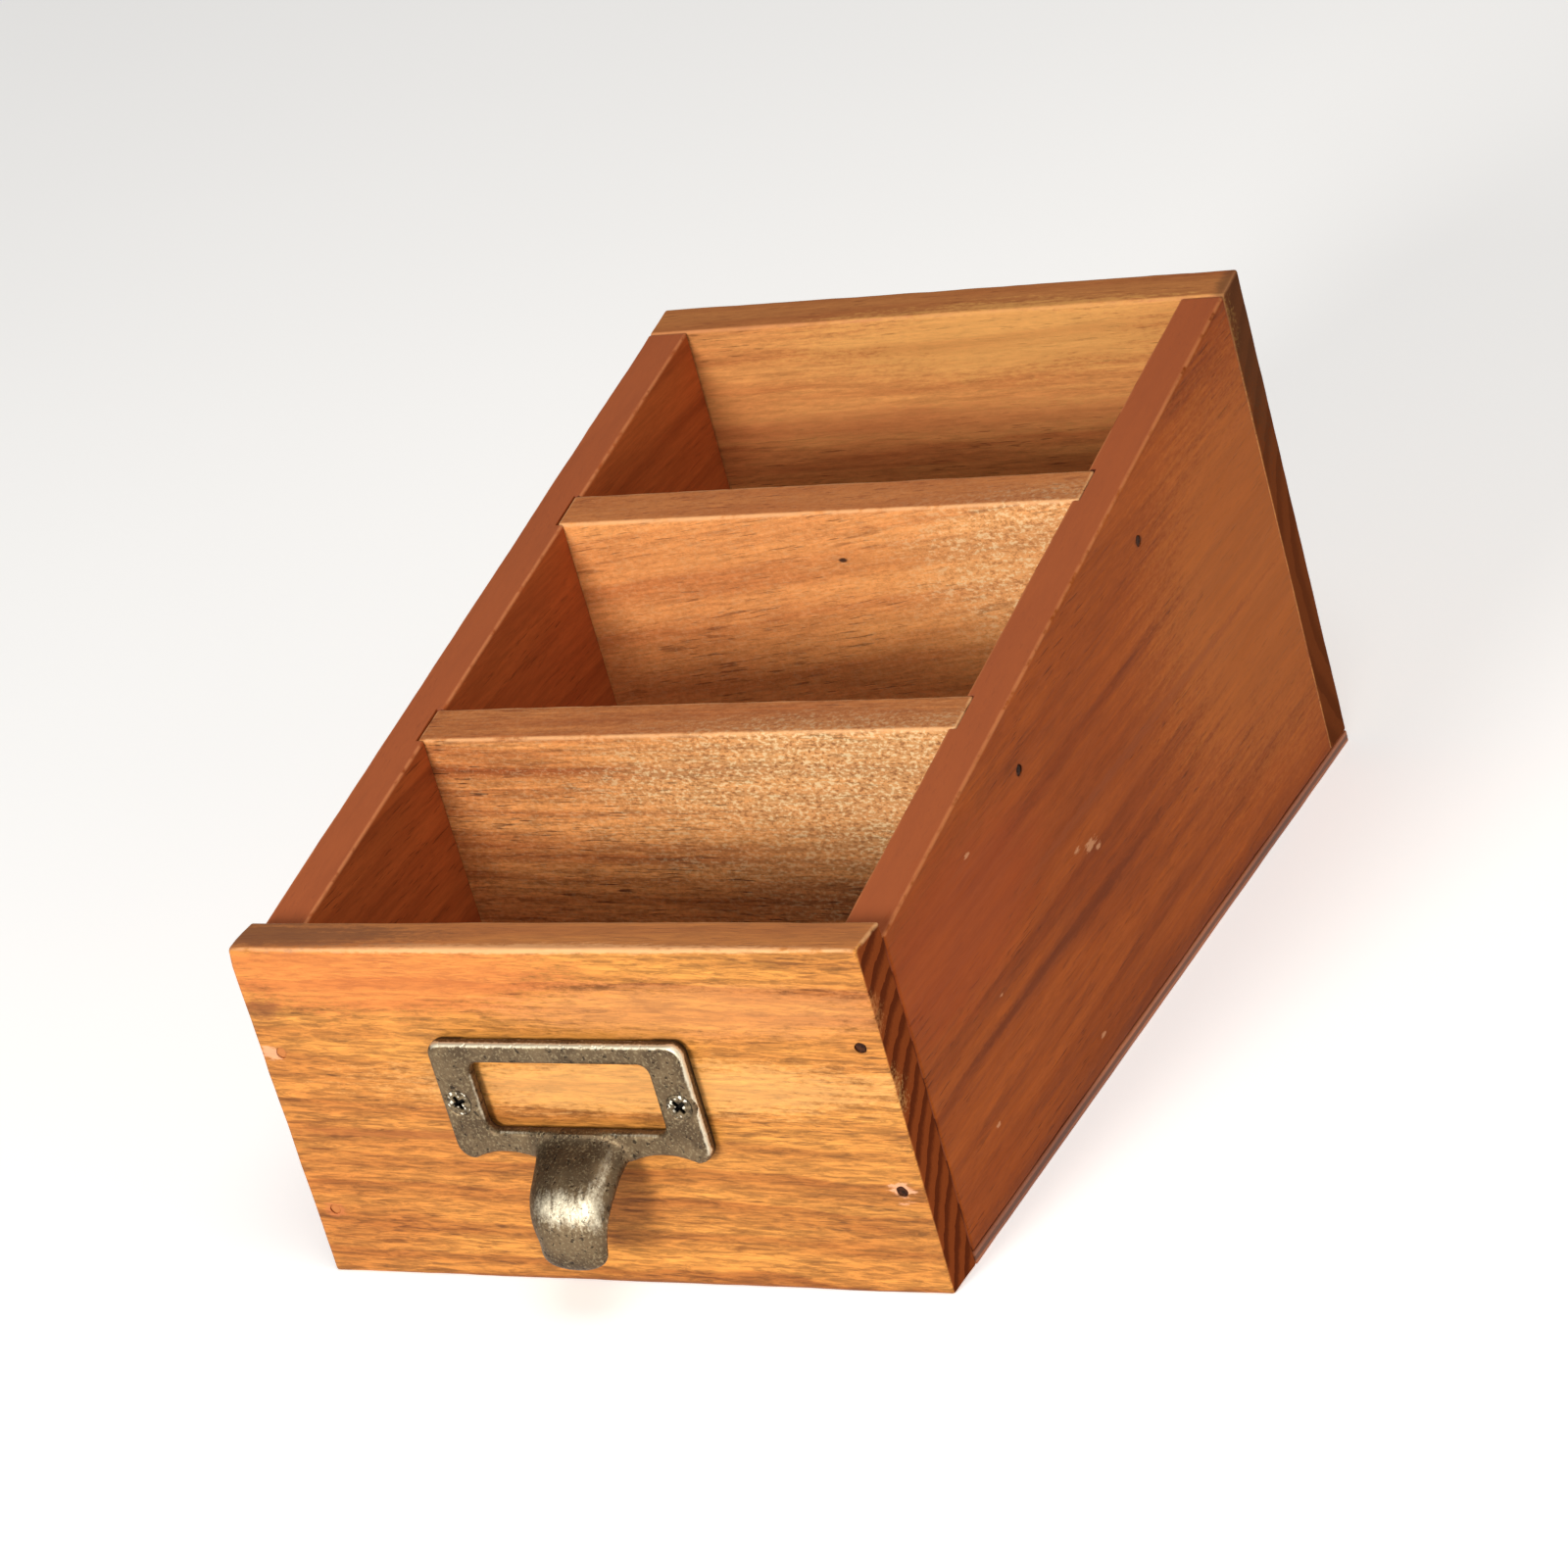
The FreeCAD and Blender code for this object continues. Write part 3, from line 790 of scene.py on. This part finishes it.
def dimple_cutter(points):
    """The punched hollow over a nail's head."""
    head, direction, _ = driven(points)
    wobble = head.sum()

    def radius_at(depth, angle):
        return DIMPLE_RADIUS * (1 + 0.05 * math.sin(2 * angle + wobble) + 0.04 * math.sin(5 * angle + wobble))

    start = head - direction * (PIN_SET + CUTTER_LEAD)
    return turned_points(start, direction, [0.0, CUTTER_LEAD + DIMPLE_DEPTH], radius_at, 24)


def touching(node, low, high):
    """The nails of a node whose heads lie inside a box."""
    found = []
    for points in loose_solids(node):
        head = driven(points)[0]
        if np.all(head > low - 0.1) and np.all(head < high + 0.1):
            found.append(points)
    return found


def dimples(node):
    """One object with a cutter for each nail whose head is in a board."""
    low, high = span(node)
    shapes = [dimple_cutter(points) for group in NAIL_NODES for points in touching(group, low, high)]
    return [joined("dimples", shapes, STEEL)] if shapes else []


def housings(node):
    """Cutters for the two grooves in a side that hold the dividers' ends."""
    low, high = span(node)
    side = 1 if low[0] > 0 else -1
    shapes = []
    for divider in ("front_divider", "rear_divider"):
        inner_low, inner_high = span(divider)
        mouth = low[0] if side > 0 else high[0]
        across = sorted((mouth - side * 1.0, side * (inner_high[0] + HOUSING_END_GAP)))
        along = [inner_low[1] - HOUSING_SIDE_GAP, inner_high[1] + HOUSING_SIDE_GAP]
        shapes.append(block_surface([across, along, [low[2] - 1, high[2] + 10]]))
    return [joined("housings", shapes, STEEL)]


# The label-holder pull.

def arc(centre, radius, start, end, count=10):
    """Points of a circular arc, its angles in degrees."""
    angles = np.radians(np.linspace(start, end, count))
    return [(centre[0] + radius * math.cos(a), centre[1] + radius * math.sin(a)) for a in angles]


def arc_through(first, middle, last, count=14):
    """Points of the arc through three points that bulges upward."""
    (x0, z0), (x1, z1), (x2, z2) = first, middle, last
    a = np.array([[x1 - x0, z1 - z0], [x2 - x0, z2 - z0]])
    b = 0.5 * np.array([x1 ** 2 - x0 ** 2 + z1 ** 2 - z0 ** 2, x2 ** 2 - x0 ** 2 + z2 ** 2 - z0 ** 2])
    centre = np.linalg.solve(a, b)
    radius = math.dist(centre, first)
    start, end = (math.degrees(math.atan2(z - centre[1], x - centre[0])) for x, z in (first, last))
    return arc(centre, radius, start, end, count)


def plate_outline():
    """The plate's outer edge: its right half from top to bottom, then its left half back up."""
    half = PULL_HIGH[0]
    top = PULL_HIGH[2]
    right = arc((half - PLATE_CORNER, top - PLATE_CORNER), PLATE_CORNER, 90, 0)
    right += arc((LOBE_CENTRE, PLATE_BOTTOM + LOBE_RADIUS), LOBE_RADIUS, 0, -90)
    right += arc_through((LOBE_CENTRE, PLATE_BOTTOM), (SCALLOP_CENTRE, SCALLOP_TOP),
                         (HOOK_ROOT_HALF, PLATE_BOTTOM))[1:]
    return right + [(-x, z) for x, z in reversed(right)]


def window_outline():
    half = WINDOW_WIDTH / 2
    corners = ((1, WINDOW_TOP, 0), (-1, WINDOW_TOP, 90), (-1, WINDOW_BOTTOM, 180), (1, WINDOW_BOTTOM, 270))
    points = []
    for side, z, start in corners:
        inward = -1 if z == WINDOW_TOP else 1
        centre = (side * (half - WINDOW_CORNER), z + inward * WINDOW_CORNER)
        points += arc(centre, WINDOW_CORNER, start, start + 90, 8)
    return points


def plate_mesh():
    """The pull's flat plate with its window and its rounded arrises."""
    curve = bpy.data.curves.new("plate_outline", "CURVE")
    curve.dimensions = "2D"
    curve.fill_mode = "BOTH"
    curve.extrude = (PLATE_FRONT / 2 - PLATE_ROUND) / METRE
    curve.bevel_depth = PLATE_ROUND / METRE
    curve.bevel_resolution = 3
    curve.offset = -PLATE_ROUND / METRE
    for outline in (plate_outline(), window_outline()):
        spline = curve.splines.new("POLY")
        spline.points.add(len(outline) - 1)
        for point, (x, z) in zip(spline.points, outline):
            point.co = (x / METRE, z / METRE, 0, 1)
        spline.use_cyclic_u = True
    item = bpy.data.objects.new("plate", curve)
    bpy.context.scene.collection.objects.link(item)
    mesh = bpy.data.meshes.new_from_object(item)
    bpy.data.objects.remove(item)
    stand = Matrix.Translation((0, (FRONT_FACE - PLATE_FRONT / 2) / METRE, 0)) @ Matrix.Rotation(
        math.pi / 2, 4, "X")
    mesh.transform(stand)
    shape = bmesh.new()
    shape.from_mesh(mesh)
    bmesh.ops.remove_doubles(shape, verts=shape.verts, dist=1e-6)
    bmesh.ops.recalc_face_normals(shape, faces=shape.faces)
    points = [vert.co * METRE for vert in shape.verts]
    faces = [[vert.index for vert in face.verts] for face in shape.faces]
    shape.free()
    return points, faces


def bezier(poles, t):
    weights = ((1 - t) ** 3, 3 * t * (1 - t) ** 2, 3 * t * t * (1 - t), t ** 3)
    return sum(np.array(pole) * weight for pole, weight in zip(poles, weights))


def hook_half_width(z):
    """Half the tongue's width at a height: straight sides that close in a blunt round end."""
    rise = z - PULL_LOW[2]
    if z > HOOK_NECK_HEIGHT:
        flare = min((z - HOOK_NECK_HEIGHT) / (HOOK_ROOT_HEIGHT - HOOK_NECK_HEIGHT), 1.0)
        return HOOK_NECK_HALF + flare * flare * (HOOK_ROOT_HALF - HOOK_NECK_HALF)
    if rise > HOOK_END_HEIGHT:
        share = (rise - HOOK_END_HEIGHT) / (HOOK_NECK_HEIGHT - PULL_LOW[2] - HOOK_END_HEIGHT)
        return HOOK_END_HALF + share * (HOOK_NECK_HALF - HOOK_END_HALF)
    drop = min(1.0, 1 - rise / HOOK_END_HEIGHT)
    return HOOK_END_HALF * max(1 - drop ** HOOK_END_FULLNESS, 0.0) ** (1 / HOOK_END_FULLNESS) + 0.05


def hook_mesh():
    """The finger hook: crowned sections swept from the window's lower edge to the curled tip."""
    points = []
    for station in range(HOOK_STATIONS):
        along = 2 * station / (HOOK_STATIONS - 1)
        piece, t = (0, along) if along <= 1 else (1, along - 1)
        outer = bezier(HOOK_SWEEP["outer"][piece], t)
        inner = bezier(HOOK_SWEEP["inner"][piece], t)
        centre, half = (outer + inner) / 2, (outer - inner) / 2
        depth = np.linalg.norm(half)
        normal = half / depth
        width = hook_half_width(outer[1] if piece else centre[1])
        crown = HOOK_CROWN * min(1.0, along / 0.5)
        crown += (HOOK_TIP_CROWN - HOOK_CROWN) * min(1.0, max(0.0, along - 0.7) / 0.9)
        for step in range(HOOK_SIDES):
            angle = 2 * math.pi * step / HOOK_SIDES
            across, through = (math.copysign(abs(value) ** (2 / HOOK_SECTION_FULLNESS), value)
                               for value in (math.cos(angle), math.sin(angle)))
            fall = crown * abs(across) ** HOOK_CROWN_POWER
            out, z = centre + normal * (through * depth - fall)
            points.append((across * width, FRONT_FACE - out, z))
    return points, tube_faces(HOOK_STATIONS, HOOK_SIDES)


def neighbours(item):
    """The two vertices of each edge."""
    edges = np.empty(len(item.data.edges) * 2, int)
    item.data.edges.foreach_get("vertices", edges)
    return edges.reshape(-1, 2)


def neighbour_sum(edges, values):
    """For each vertex, the sum of its neighbours' values."""
    total = np.zeros_like(values)
    np.add.at(total, edges[:, 0], values[edges[:, 1]])
    np.add.at(total, edges[:, 1], values[edges[:, 0]])
    return total


def relax(item, rounds, weight):
    """Pulls each vertex towards the middle of its neighbours, as far as its weight says."""
    edges = neighbours(item)
    points = positions(item)
    count = np.bincount(edges.ravel(), minlength=len(points))[:, None]
    for _ in range(rounds):
        points = points + weight[:, None] * (neighbour_sum(edges, points) / count - points)
    set_positions(item, points)


def convexity(item, rounds=2):
    """How strongly the surface turns outward at each vertex, in 1/mm."""
    edges = neighbours(item)
    points = positions(item)
    normals = vertex_normals(item)
    step = points[edges[:, 0]] - points[edges[:, 1]]
    size = (step ** 2).sum(1)
    bend = np.zeros(len(points))
    np.add.at(bend, edges[:, 0], (normals[edges[:, 0]] * step).sum(1) / size)
    np.add.at(bend, edges[:, 1], -(normals[edges[:, 1]] * step).sum(1) / size)
    count = np.bincount(edges.ravel(), minlength=len(points))
    bend /= count
    for _ in range(rounds):
        bend = (bend + neighbour_sum(edges, bend)) / (count + 1)
    return bend


def countersink_cutters():
    """Cones that seat the screws' heads in the plate."""
    shapes = []
    for points in loose_solids("pull_screws"):
        head, direction, _ = driven(points)
        radius = np.ptp(points[:, 0]) / 2

        def radius_at(depth, angle):
            return radius + SCREW_SEAT_GAP - max(0.0, min(depth - SCREW_SEAT_LEAD, SCREW_HEAD_DEPTH))

        depths = [0.0, SCREW_SEAT_LEAD, SCREW_SEAT_LEAD + SCREW_HEAD_DEPTH, 5.0]
        shapes.append(turned_points(head - direction * SCREW_SEAT_LEAD, direction, depths, radius_at, 40))
    return shapes


def vertex_normals(item):
    normals = np.empty(len(item.data.vertices) * 3)
    item.data.vertices.foreach_get("normal", normals)
    return normals.reshape(-1, 3)


def between(values, low, high):
    """0 at low, 1 at high and even in between."""
    return np.clip((values - low) / (high - low), 0, 1)


def edge_wear(item, points, out):
    """Bright arrises: wear, with a painted highlight where they face up or right, and none by the screws or
    in the hook's root.
    """
    normals = vertex_normals(item)
    lit_side = np.clip(1.1 * normals[:, 0] + 1.3 * normals[:, 2], 0, 1)
    by_window = (np.abs(points[:, 0]) < WINDOW_WIDTH / 2 + 1.5) & (points[:, 2] < WINDOW_TOP + 1.5)
    start = np.where(by_window, WINDOW_EDGE_START, EDGE_START)
    wear = np.clip(convexity(item) * EDGE_GAIN - start, 0, EDGE_LIMIT)
    wear *= SHADED_EDGE + (1 - SHADED_EDGE) * lit_side
    wear *= between(out, *SHELTERED_OUT) * np.where(out > PLATE_FRONT + 1, SHADED_EDGE, 1.0)
    at_root = np.exp(-((points[:, 0] + 1) / 8) ** 4) * (np.abs(points[:, 2] - WINDOW_BOTTOM) < 2.5)
    wear *= 1 - at_root
    for screw in loose_solids("pull_screws"):
        head = driven(screw)[0]
        near = np.hypot(points[:, 0] - head[0], points[:, 2] - head[2]) < SCREW_SEAT_REACH
        wear *= np.where(near, SCREW_SEAT_WEAR, 1.0)
    return wear


def hook_wear(points, out):
    """The polished swelling that fingers pull on and the worn line down the hook's right side, both partly
    painted highlights.
    """
    across, z = points[:, 0], points[:, 2]
    polish = np.exp(-((out - HOOK_POLISH[0]) / POLISH_REACH[0]) ** 2
                    - ((z - HOOK_POLISH[1]) / POLISH_REACH[1]) ** 2 - (across / POLISH_HALF) ** 4)
    ridge = np.exp(-((across - RIDGE_PLACE) / RIDGE_REACH) ** 2) * (out > PLATE_FRONT + 0.3)
    return POLISH_WEAR * polish + RIDGE_WEAR * ridge * between(z, *RIDGE_FADE)


def label_pull():
    """The cast pull: plate and hook run together, cut for its screws and card, then softened."""
    item = joined("bronze_label_pull", [plate_mesh()], BRONZE)
    hook = joined("hook", [hook_mesh()], BRONZE)
    union = item.modifiers.new("join", "BOOLEAN")
    union.operation = "UNION"
    union.solver = "EXACT"
    union.object = hook
    apply_modifiers(item)
    bpy.data.objects.remove(hook)
    slot = block_surface([[-CARD_SLOT_HALF, CARD_SLOT_HALF], [FRONT_FACE - CARD_SLOT_DEPTH, FRONT_FACE + 1],
                          [CARD_SLOT_BOTTOM, PULL_HIGH[2] + 1]])
    carve(item, [joined("slot", [slot], BRONZE), joined("seats", countersink_cutters(), BRONZE)])
    remesh = item.modifiers.new("cast", "REMESH")
    remesh.mode = "VOXEL"
    remesh.voxel_size = CAST_VOXEL / METRE
    apply_modifiers(item)
    rounds, weight = CAST_SOFTENING
    relax(item, rounds, np.full(len(item.data.vertices), weight))
    points = positions(item)
    corner = (np.abs(points[:, 0]) - HOOK_ROOT_HALF) / ROOT_FILLET_REACH[0]
    level = (points[:, 2] - ROOT_FILLET_HEIGHT) / ROOT_FILLET_REACH[1]
    standing = FRONT_FACE - points[:, 1] > ROOT_FILLET_OUT
    rounds, weight = FILLET_SOFTENING
    relax(item, rounds, weight * np.exp(-corner ** 2 - level ** 2) * standing)
    points = positions(item)
    out = FRONT_FACE - points[:, 1]
    set_wear(item, edge_wear(item, points, out) + hook_wear(points, out))
    item.data.polygons.foreach_set("use_smooth", [True] * len(item.data.polygons))
    return item


# Screws and nails.

def cross_cutter(head, direction, turn):
    """A tapered cross that cuts a screw's recess."""
    shapes = []
    x, y, z = head
    for angle in (turn, turn + math.pi / 2):
        points = []
        for depth, shrink in ((-0.5, 1.15), (CROSS_DEPTH, 0.55)):
            for a, b in ((-1, -1), (1, -1), (1, 1), (-1, 1)):
                u, v = a * CROSS_LENGTH / 2 * shrink, b * CROSS_WIDTH / 2 * shrink
                points.append((x + u * math.cos(angle) - v * math.sin(angle), y + direction[1] * depth,
                               z + u * math.sin(angle) + v * math.cos(angle)))
        faces = [[0, 1, 2, 3], [7, 6, 5, 4], [0, 4, 5, 1], [1, 5, 6, 2], [2, 6, 7, 3], [3, 7, 4, 0]]
        shapes.append(joined("blade", [(points, faces)], STEEL))
    return shapes


def screw_shape(points):
    """A countersunk wood screw with a rolled thread."""
    head, direction, length = driven(points)
    head_radius = np.ptp(points[:, 0]) / 2
    thread_start = SCREW_HEAD_DEPTH + 1.6
    depths = [0.0, 0.05, 0.12, 0.3, SCREW_HEAD_DEPTH, thread_start - 0.2]
    depths += list(np.arange(thread_start, length - 0.2, THREAD_PITCH / 5)) + [length]

    def radius_at(depth, angle):
        if depth < SCREW_HEAD_DEPTH:
            dome = {0.0: 0.4, 0.05: 0.85, 0.12: 0.98, 0.3: 0.96}[depth]
            return head_radius * dome
        if depth < thread_start:
            return THREAD_CORE + 0.3
        taper = min(1.0, (length - depth + 0.15) / 2.6)
        tooth = 1 - abs(2 * ((depth / THREAD_PITCH - angle / (2 * math.pi)) % 1.0) - 1)
        return taper * (THREAD_CORE + THREAD_CREST * tooth)

    return turned_points(head, direction, depths, radius_at, 32)


def pull_screws():
    item = joined("pull_cross_screws", [screw_shape(points) for points in loose_solids("pull_screws")], SCREW)
    cutters = []
    for points in loose_solids("pull_screws"):
        head, direction, _ = driven(points)
        cutters += cross_cutter(head, direction, CROSS_TURNS[1 if head[0] > 0 else -1])
    carve(item, cutters)
    return item


def nails(node):
    return joined(node.replace("_nails", "_wire_nails"), [nail_shape(p) for p in loose_solids(node)], STEEL)


# Materials.

NAIL_NODES = ("front_panel_nails", "back_panel_nails", "divider_nails", "bottom_nails")

STEEL = nail_wire()
SCREW = screw_metal()
BRONZE = bronze("cast_bronze")


def front_marks():
    face = FRONT_FACE
    return [
        Mark((-40.0, face, 74.0), (60.0, 6.0, 12.0), (216, 122, 62), 0.5, 0.6),
        Mark((35.0, face, 66.0), (60.0, 6.0, 8.0), (222, 150, 90), 0.4, 0.6),
        Mark((20.0, face, 48.0), (80.0, 6.0, 8.0), (244, 184, 112), 0.4, 0.8),
        Mark((-40.0, face, 35.5), (42.0, 4.0, 1.5), (150, 84, 40), 0.55, 1.0),
        Mark((-71.0, face, 65.5), (7.0, 6.0, 3.0), (104, 54, 30), 0.6, 0.9),
        Mark((0.0, face, 0.0), (90.0, 4.0, 1.6), (110, 60, 34), 0.6, 0.6),
        Mark((69.7, face, 58.0), (1.7, 2.0, 1.5), DARK_HOLE, 0.7),
        Mark((69.7, face, 24.5), (3.0, 2.0, 2.6), PALE_SCUFF, 0.7, 1.2),
        Mark((-72.0, face, 55.0), (3.8, 2.0, 1.8), PALE_SCUFF, 0.6, 1.2),
        Mark((-69.7, face, 16.0), (2.6, 2.0, 2.2), (196, 112, 66), 0.5, 1.1),
        Mark((0.0, face, FRONT_HIGH[2] - 0.4), (78.0, 3.0, 1.0), (238, 176, 122), 0.75, 0.7),
        Mark((-75.0, face + 5.5, FRONT_HIGH[2]), (60.0, 6.0, 4.0), (112, 72, 52), 0.6, 0.8),
    ]


def back_marks():
    inner = BACK_LOW[1]
    return [
        Mark((20.0, inner, 112.0), (70.0, 6.0, 12.0), (228, 172, 96), 0.45, 0.9),
        Mark((0.0, inner, 92.0), (90.0, 4.0, 5.0), (190, 112, 66), 0.4, 0.9),
        Mark((75.0, 110.0, 125.0), (4.0, 9.0, 60.0), (84, 58, 40), 0.55, 0.6)]


def side_marks():
    outer = span("right_side")[1][0]
    flecks = [(-65.5, 73.0, 0.9), (-67.0, 41.0, 0.8), (-31.0, 9.4, 0.8), (-81.5, 19.0, 0.7),
              (-16.0, 47.0, 1.9), (-13.0, 45.0, 1.1), (-22.0, 49.0, 1.0)]
    # The first mark, lighter towards the back of the side, is painted light.
    marks = [Mark((outer, 95.0, 60.0), (6.0, 80.0, 60.0), (196, 116, 54), 0.4, 0.5),
             Mark((outer, -75.0, 62.0), (6.0, 50.0, 22.0), (158, 68, 30), 0.45, 0.5),
             Mark((outer, -35.0, 35.5), (3.0, 62.0, 2.0), (98, 44, 18), 0.45, 1.1),
             Mark((outer, 20.0, 55.0), (3.0, 90.0, 1.6), (136, 70, 38), 0.45, 1.1),
             Mark((outer, -20.0, 4.0), (3.0, 120.0, 3.0), (112, 54, 30), 0.5, 0.9)]
    marks += [Mark((outer, y, z), (2.0, size * 1.7, size * 0.7), (214, 156, 112), 0.6, 1.3)
              for y, z, size in flecks]
    for points in touching("divider_nails", *span("right_side")):
        _, y, z = driven(points)[0]
        marks.append(Mark((outer, y, z), (2.0, 2.4, 1.5), DARK_HOLE, 0.6, 0.8))
    return marks


FRONT_PINE = wood("front_pine", Wood(
    early=(198, 133, 61), late=(124, 60, 20), stain=(158, 84, 34), end=(132, 64, 30), end_late=(92, 41, 20),
    pith=(-52.0, -30.0), lean=(0.01, -0.02), ring=4.8, ring_strength=0.46, wander=3.5, bands=0.42,
    fibre=0.46, figure=0.32, fuzz=0.24, blotch=0.35, top=(200, 124, 76), roughness=0.45, shine=0.18,
    relief=0.1, streaks=0.55, seed=1.0, marks=front_marks()))
RIGHT_PINE = wood("right_side_pine", Wood(
    early=(162, 80, 26), late=(122, 54, 17), stain=(134, 58, 19), worn=(206, 128, 80), along=1,
    pith=(20.0, -30.0), lean=(0.01, 0.02), ring=7.0, ring_strength=0.35, bands=0.6, fibre=0.2,
    figure=0.08, fuzz=0.1, streaks=0.3, blotch=0.4, top=(178, 98, 62), top_strength=0.75, roughness=0.55,
    shine=0.06, seed=2.0, marks=side_marks()))
LEFT_PINE = wood("left_side_pine", Wood(
    early=(182, 94, 46), late=(136, 62, 30), stain=(158, 76, 40), worn=(214, 136, 88), along=1,
    pith=(-10.0, -36.0), lean=(-0.01, 0.02), ring=6.5, ring_strength=0.3, bands=0.5, fibre=0.2,
    figure=0.07, fuzz=0.1, blotch=0.4, top=(172, 94, 58), top_strength=0.75, shine=0.1, seed=3.0))
BACK_PINE = wood("back_pine", Wood(
    early=(222, 154, 88), late=(176, 98, 53), stain=(180, 100, 56), end=(112, 58, 30), end_late=(98, 50, 26),
    worn=(214, 144, 96), pith=(160.0, 40.0), lean=(0.01, 0.02), ring=6.5, ring_strength=0.35,
    wander=4.0, bands=0.6, fibre=0.28, fuzz=0.2, blotch=0.5, top=(148, 82, 46), wear=0.6, shine=0.12,
    seed=4.0, marks=back_marks()))
FRONT_DIVIDER_PINE = wood("front_divider_pine", Wood(
    early=(224, 150, 84), late=(160, 84, 38), stain=(184, 102, 54), pith=(-10.0, -20.0),
    lean=(0.01, -0.02), ring=5.0, ring_strength=0.42, bands=0.65, fibre=0.46, figure=0.2,
    fuzz=0.34, dashes=0.85, streaks=0.6, top=(156, 82, 44), roughness=0.58, relief=0.16, seed=5.0,
    sheen=((76.0, -42.0, 98.0), (130.0, 9.0, 64.0), 0.85)))
REAR_DIVIDER_PINE = wood("rear_divider_pine", Wood(
    early=(240, 162, 92), late=(186, 104, 52), stain=(194, 108, 60), pith=(60.0, 40.0),
    lean=(0.02, 0.11), ring=11.0, ring_strength=0.3, wander=4.0, bands=0.36, fibre=0.26, figure=0.1,
    fuzz=0.2, streaks=0.75, top=(156, 80, 42), relief=0.1, seed=6.0,
    sheen=((70.0, 32.5, 92.0), (58.0, 9.0, 42.0), 0.7),
    marks=[Mark((5.0, 32.5, 92.4), (1.5, 2.0, 0.7), (50, 24, 14), 0.95, 0.3)]))
BOTTOM_PLY = plywood("bottom_plywood", (176, 104, 62), (142, 78, 44))


# Pieces.

def finish_board(item, node, slot, sloped=True, radius=ARRIS, extra_cutters=()):
    carve(item, [*extra_cutters, *dimples(node)])
    wear_board(item, node, sloped, radius)
    shade(item)
    enter(item, slot, node)


def enter(item, slot, *nodes):
    """Parents a finished piece to the body's empty and hides the CAD nodes it stands in for."""
    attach(item, BODY)
    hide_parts(*nodes)


def build_boards():
    chips = [Chip((FRONT_LOW[0], FRONT_FACE, FRONT_HIGH[2]), 3.0, 0.9),
             Chip((FRONT_HIGH[0], FRONT_FACE, FRONT_HIGH[2]), 2.5, 0.7)]
    front = board("front_board", "front_panel", FRONT_PINE, 1, sloped=False, chips=chips)
    finish_board(front, "front_panel", "front_pine", sloped=False)
    back = board("back_board", "back_panel", BACK_PINE, 2)
    finish_board(back, "back_panel", "body_pine")
    for node, material, seed in (("left_side", LEFT_PINE, 3), ("right_side", RIGHT_PINE, 4)):
        side = board(node + "_board", node, material, seed)
        finish_board(side, node, "body_pine", extra_cutters=housings(node))
    for node, material, seed in (("front_divider", FRONT_DIVIDER_PINE, 5),
                                 ("rear_divider", REAR_DIVIDER_PINE, 6)):
        finish_board(board(node + "_board", node, material, seed), node, "divider_pine")
    bottom = board("bottom_board", "bottom_panel", BOTTOM_PLY, 7, sloped=False, radius=0.45)
    finish_board(bottom, "bottom_panel", "bottom_plywood", sloped=False, radius=0.45)


def build_metal():
    enter(label_pull(), "aged_bronze", "label_pull")
    screws = pull_screws()
    shade(screws)
    enter(screws, "screw_steel", "pull_screws")
    for node in NAIL_NODES:
        group = nails(node)
        shade(group)
        enter(group, "nail_steel", node)


# The studio.

def build_floor():
    reach = 12.0 * METRE
    floor = make_object("studio_floor_sheet", [(-reach, -reach, 0), (reach, -reach, 0), (reach, reach, 0),
                                               (-reach, reach, 0)], [[0, 1, 2, 3]], floor_paint())


def area_light(name, azimuth, elevation, distance, size, power, color):
    """A soft light that looks at the box. Azimuth 0 is in front of it and 90 is to its right."""
    light = bpy.data.lights.new(name, "AREA")
    light.shape = "DISK"
    light.size = size
    light.energy = power
    light.color = color
    item = bpy.data.objects.new(name, light)
    a, e = math.radians(azimuth), math.radians(elevation)
    way = Vector((math.sin(a) * math.cos(e), -math.cos(a) * math.cos(e), math.sin(e)))
    item.location = Vector(LIGHT_TARGET) + way * distance
    item.rotation_euler = way.to_track_quat("Z", "Y").to_euler()
    bpy.context.scene.collection.objects.link(item)


def build_lights():
    for light in LIGHTS:
        area_light(*light)
    world = bpy.data.worlds.new("studio")
    world.use_nodes = True
    backdrop = world.node_tree.nodes["Background"]
    backdrop.inputs["Color"].default_value = WORLD_COLOR
    backdrop.inputs["Strength"].default_value = WORLD_STRENGTH
    bpy.context.scene.world = world


def build_camera():
    camera = bpy.data.cameras.new("photo_camera")
    camera.sensor_width = CAMERA_SENSOR
    camera.lens = CAMERA_LENS
    camera.clip_end = 50.0
    forward = Vector((-math.sin(CAMERA_AZIMUTH) * math.cos(CAMERA_ELEVATION),
                      math.cos(CAMERA_AZIMUTH) * math.cos(CAMERA_ELEVATION),
                      -math.sin(CAMERA_ELEVATION)))
    level = Vector((math.cos(CAMERA_AZIMUTH), math.sin(CAMERA_AZIMUTH), 0))
    upright = level.cross(forward)
    right = level * math.cos(CAMERA_ROLL) - upright * math.sin(CAMERA_ROLL)
    up = upright * math.cos(CAMERA_ROLL) + level * math.sin(CAMERA_ROLL)
    item = bpy.data.objects.new("photo_camera", camera)
    turn = Matrix((right, up, -forward)).transposed().to_4x4()
    item.matrix_world = Matrix.Translation(CAMERA_PLACE) @ turn
    bpy.context.scene.collection.objects.link(item)
    bpy.context.scene.camera = item


build_boards()
build_metal()
build_floor()
build_lights()
build_camera()
bpy.context.scene.view_settings.view_transform = "Standard"
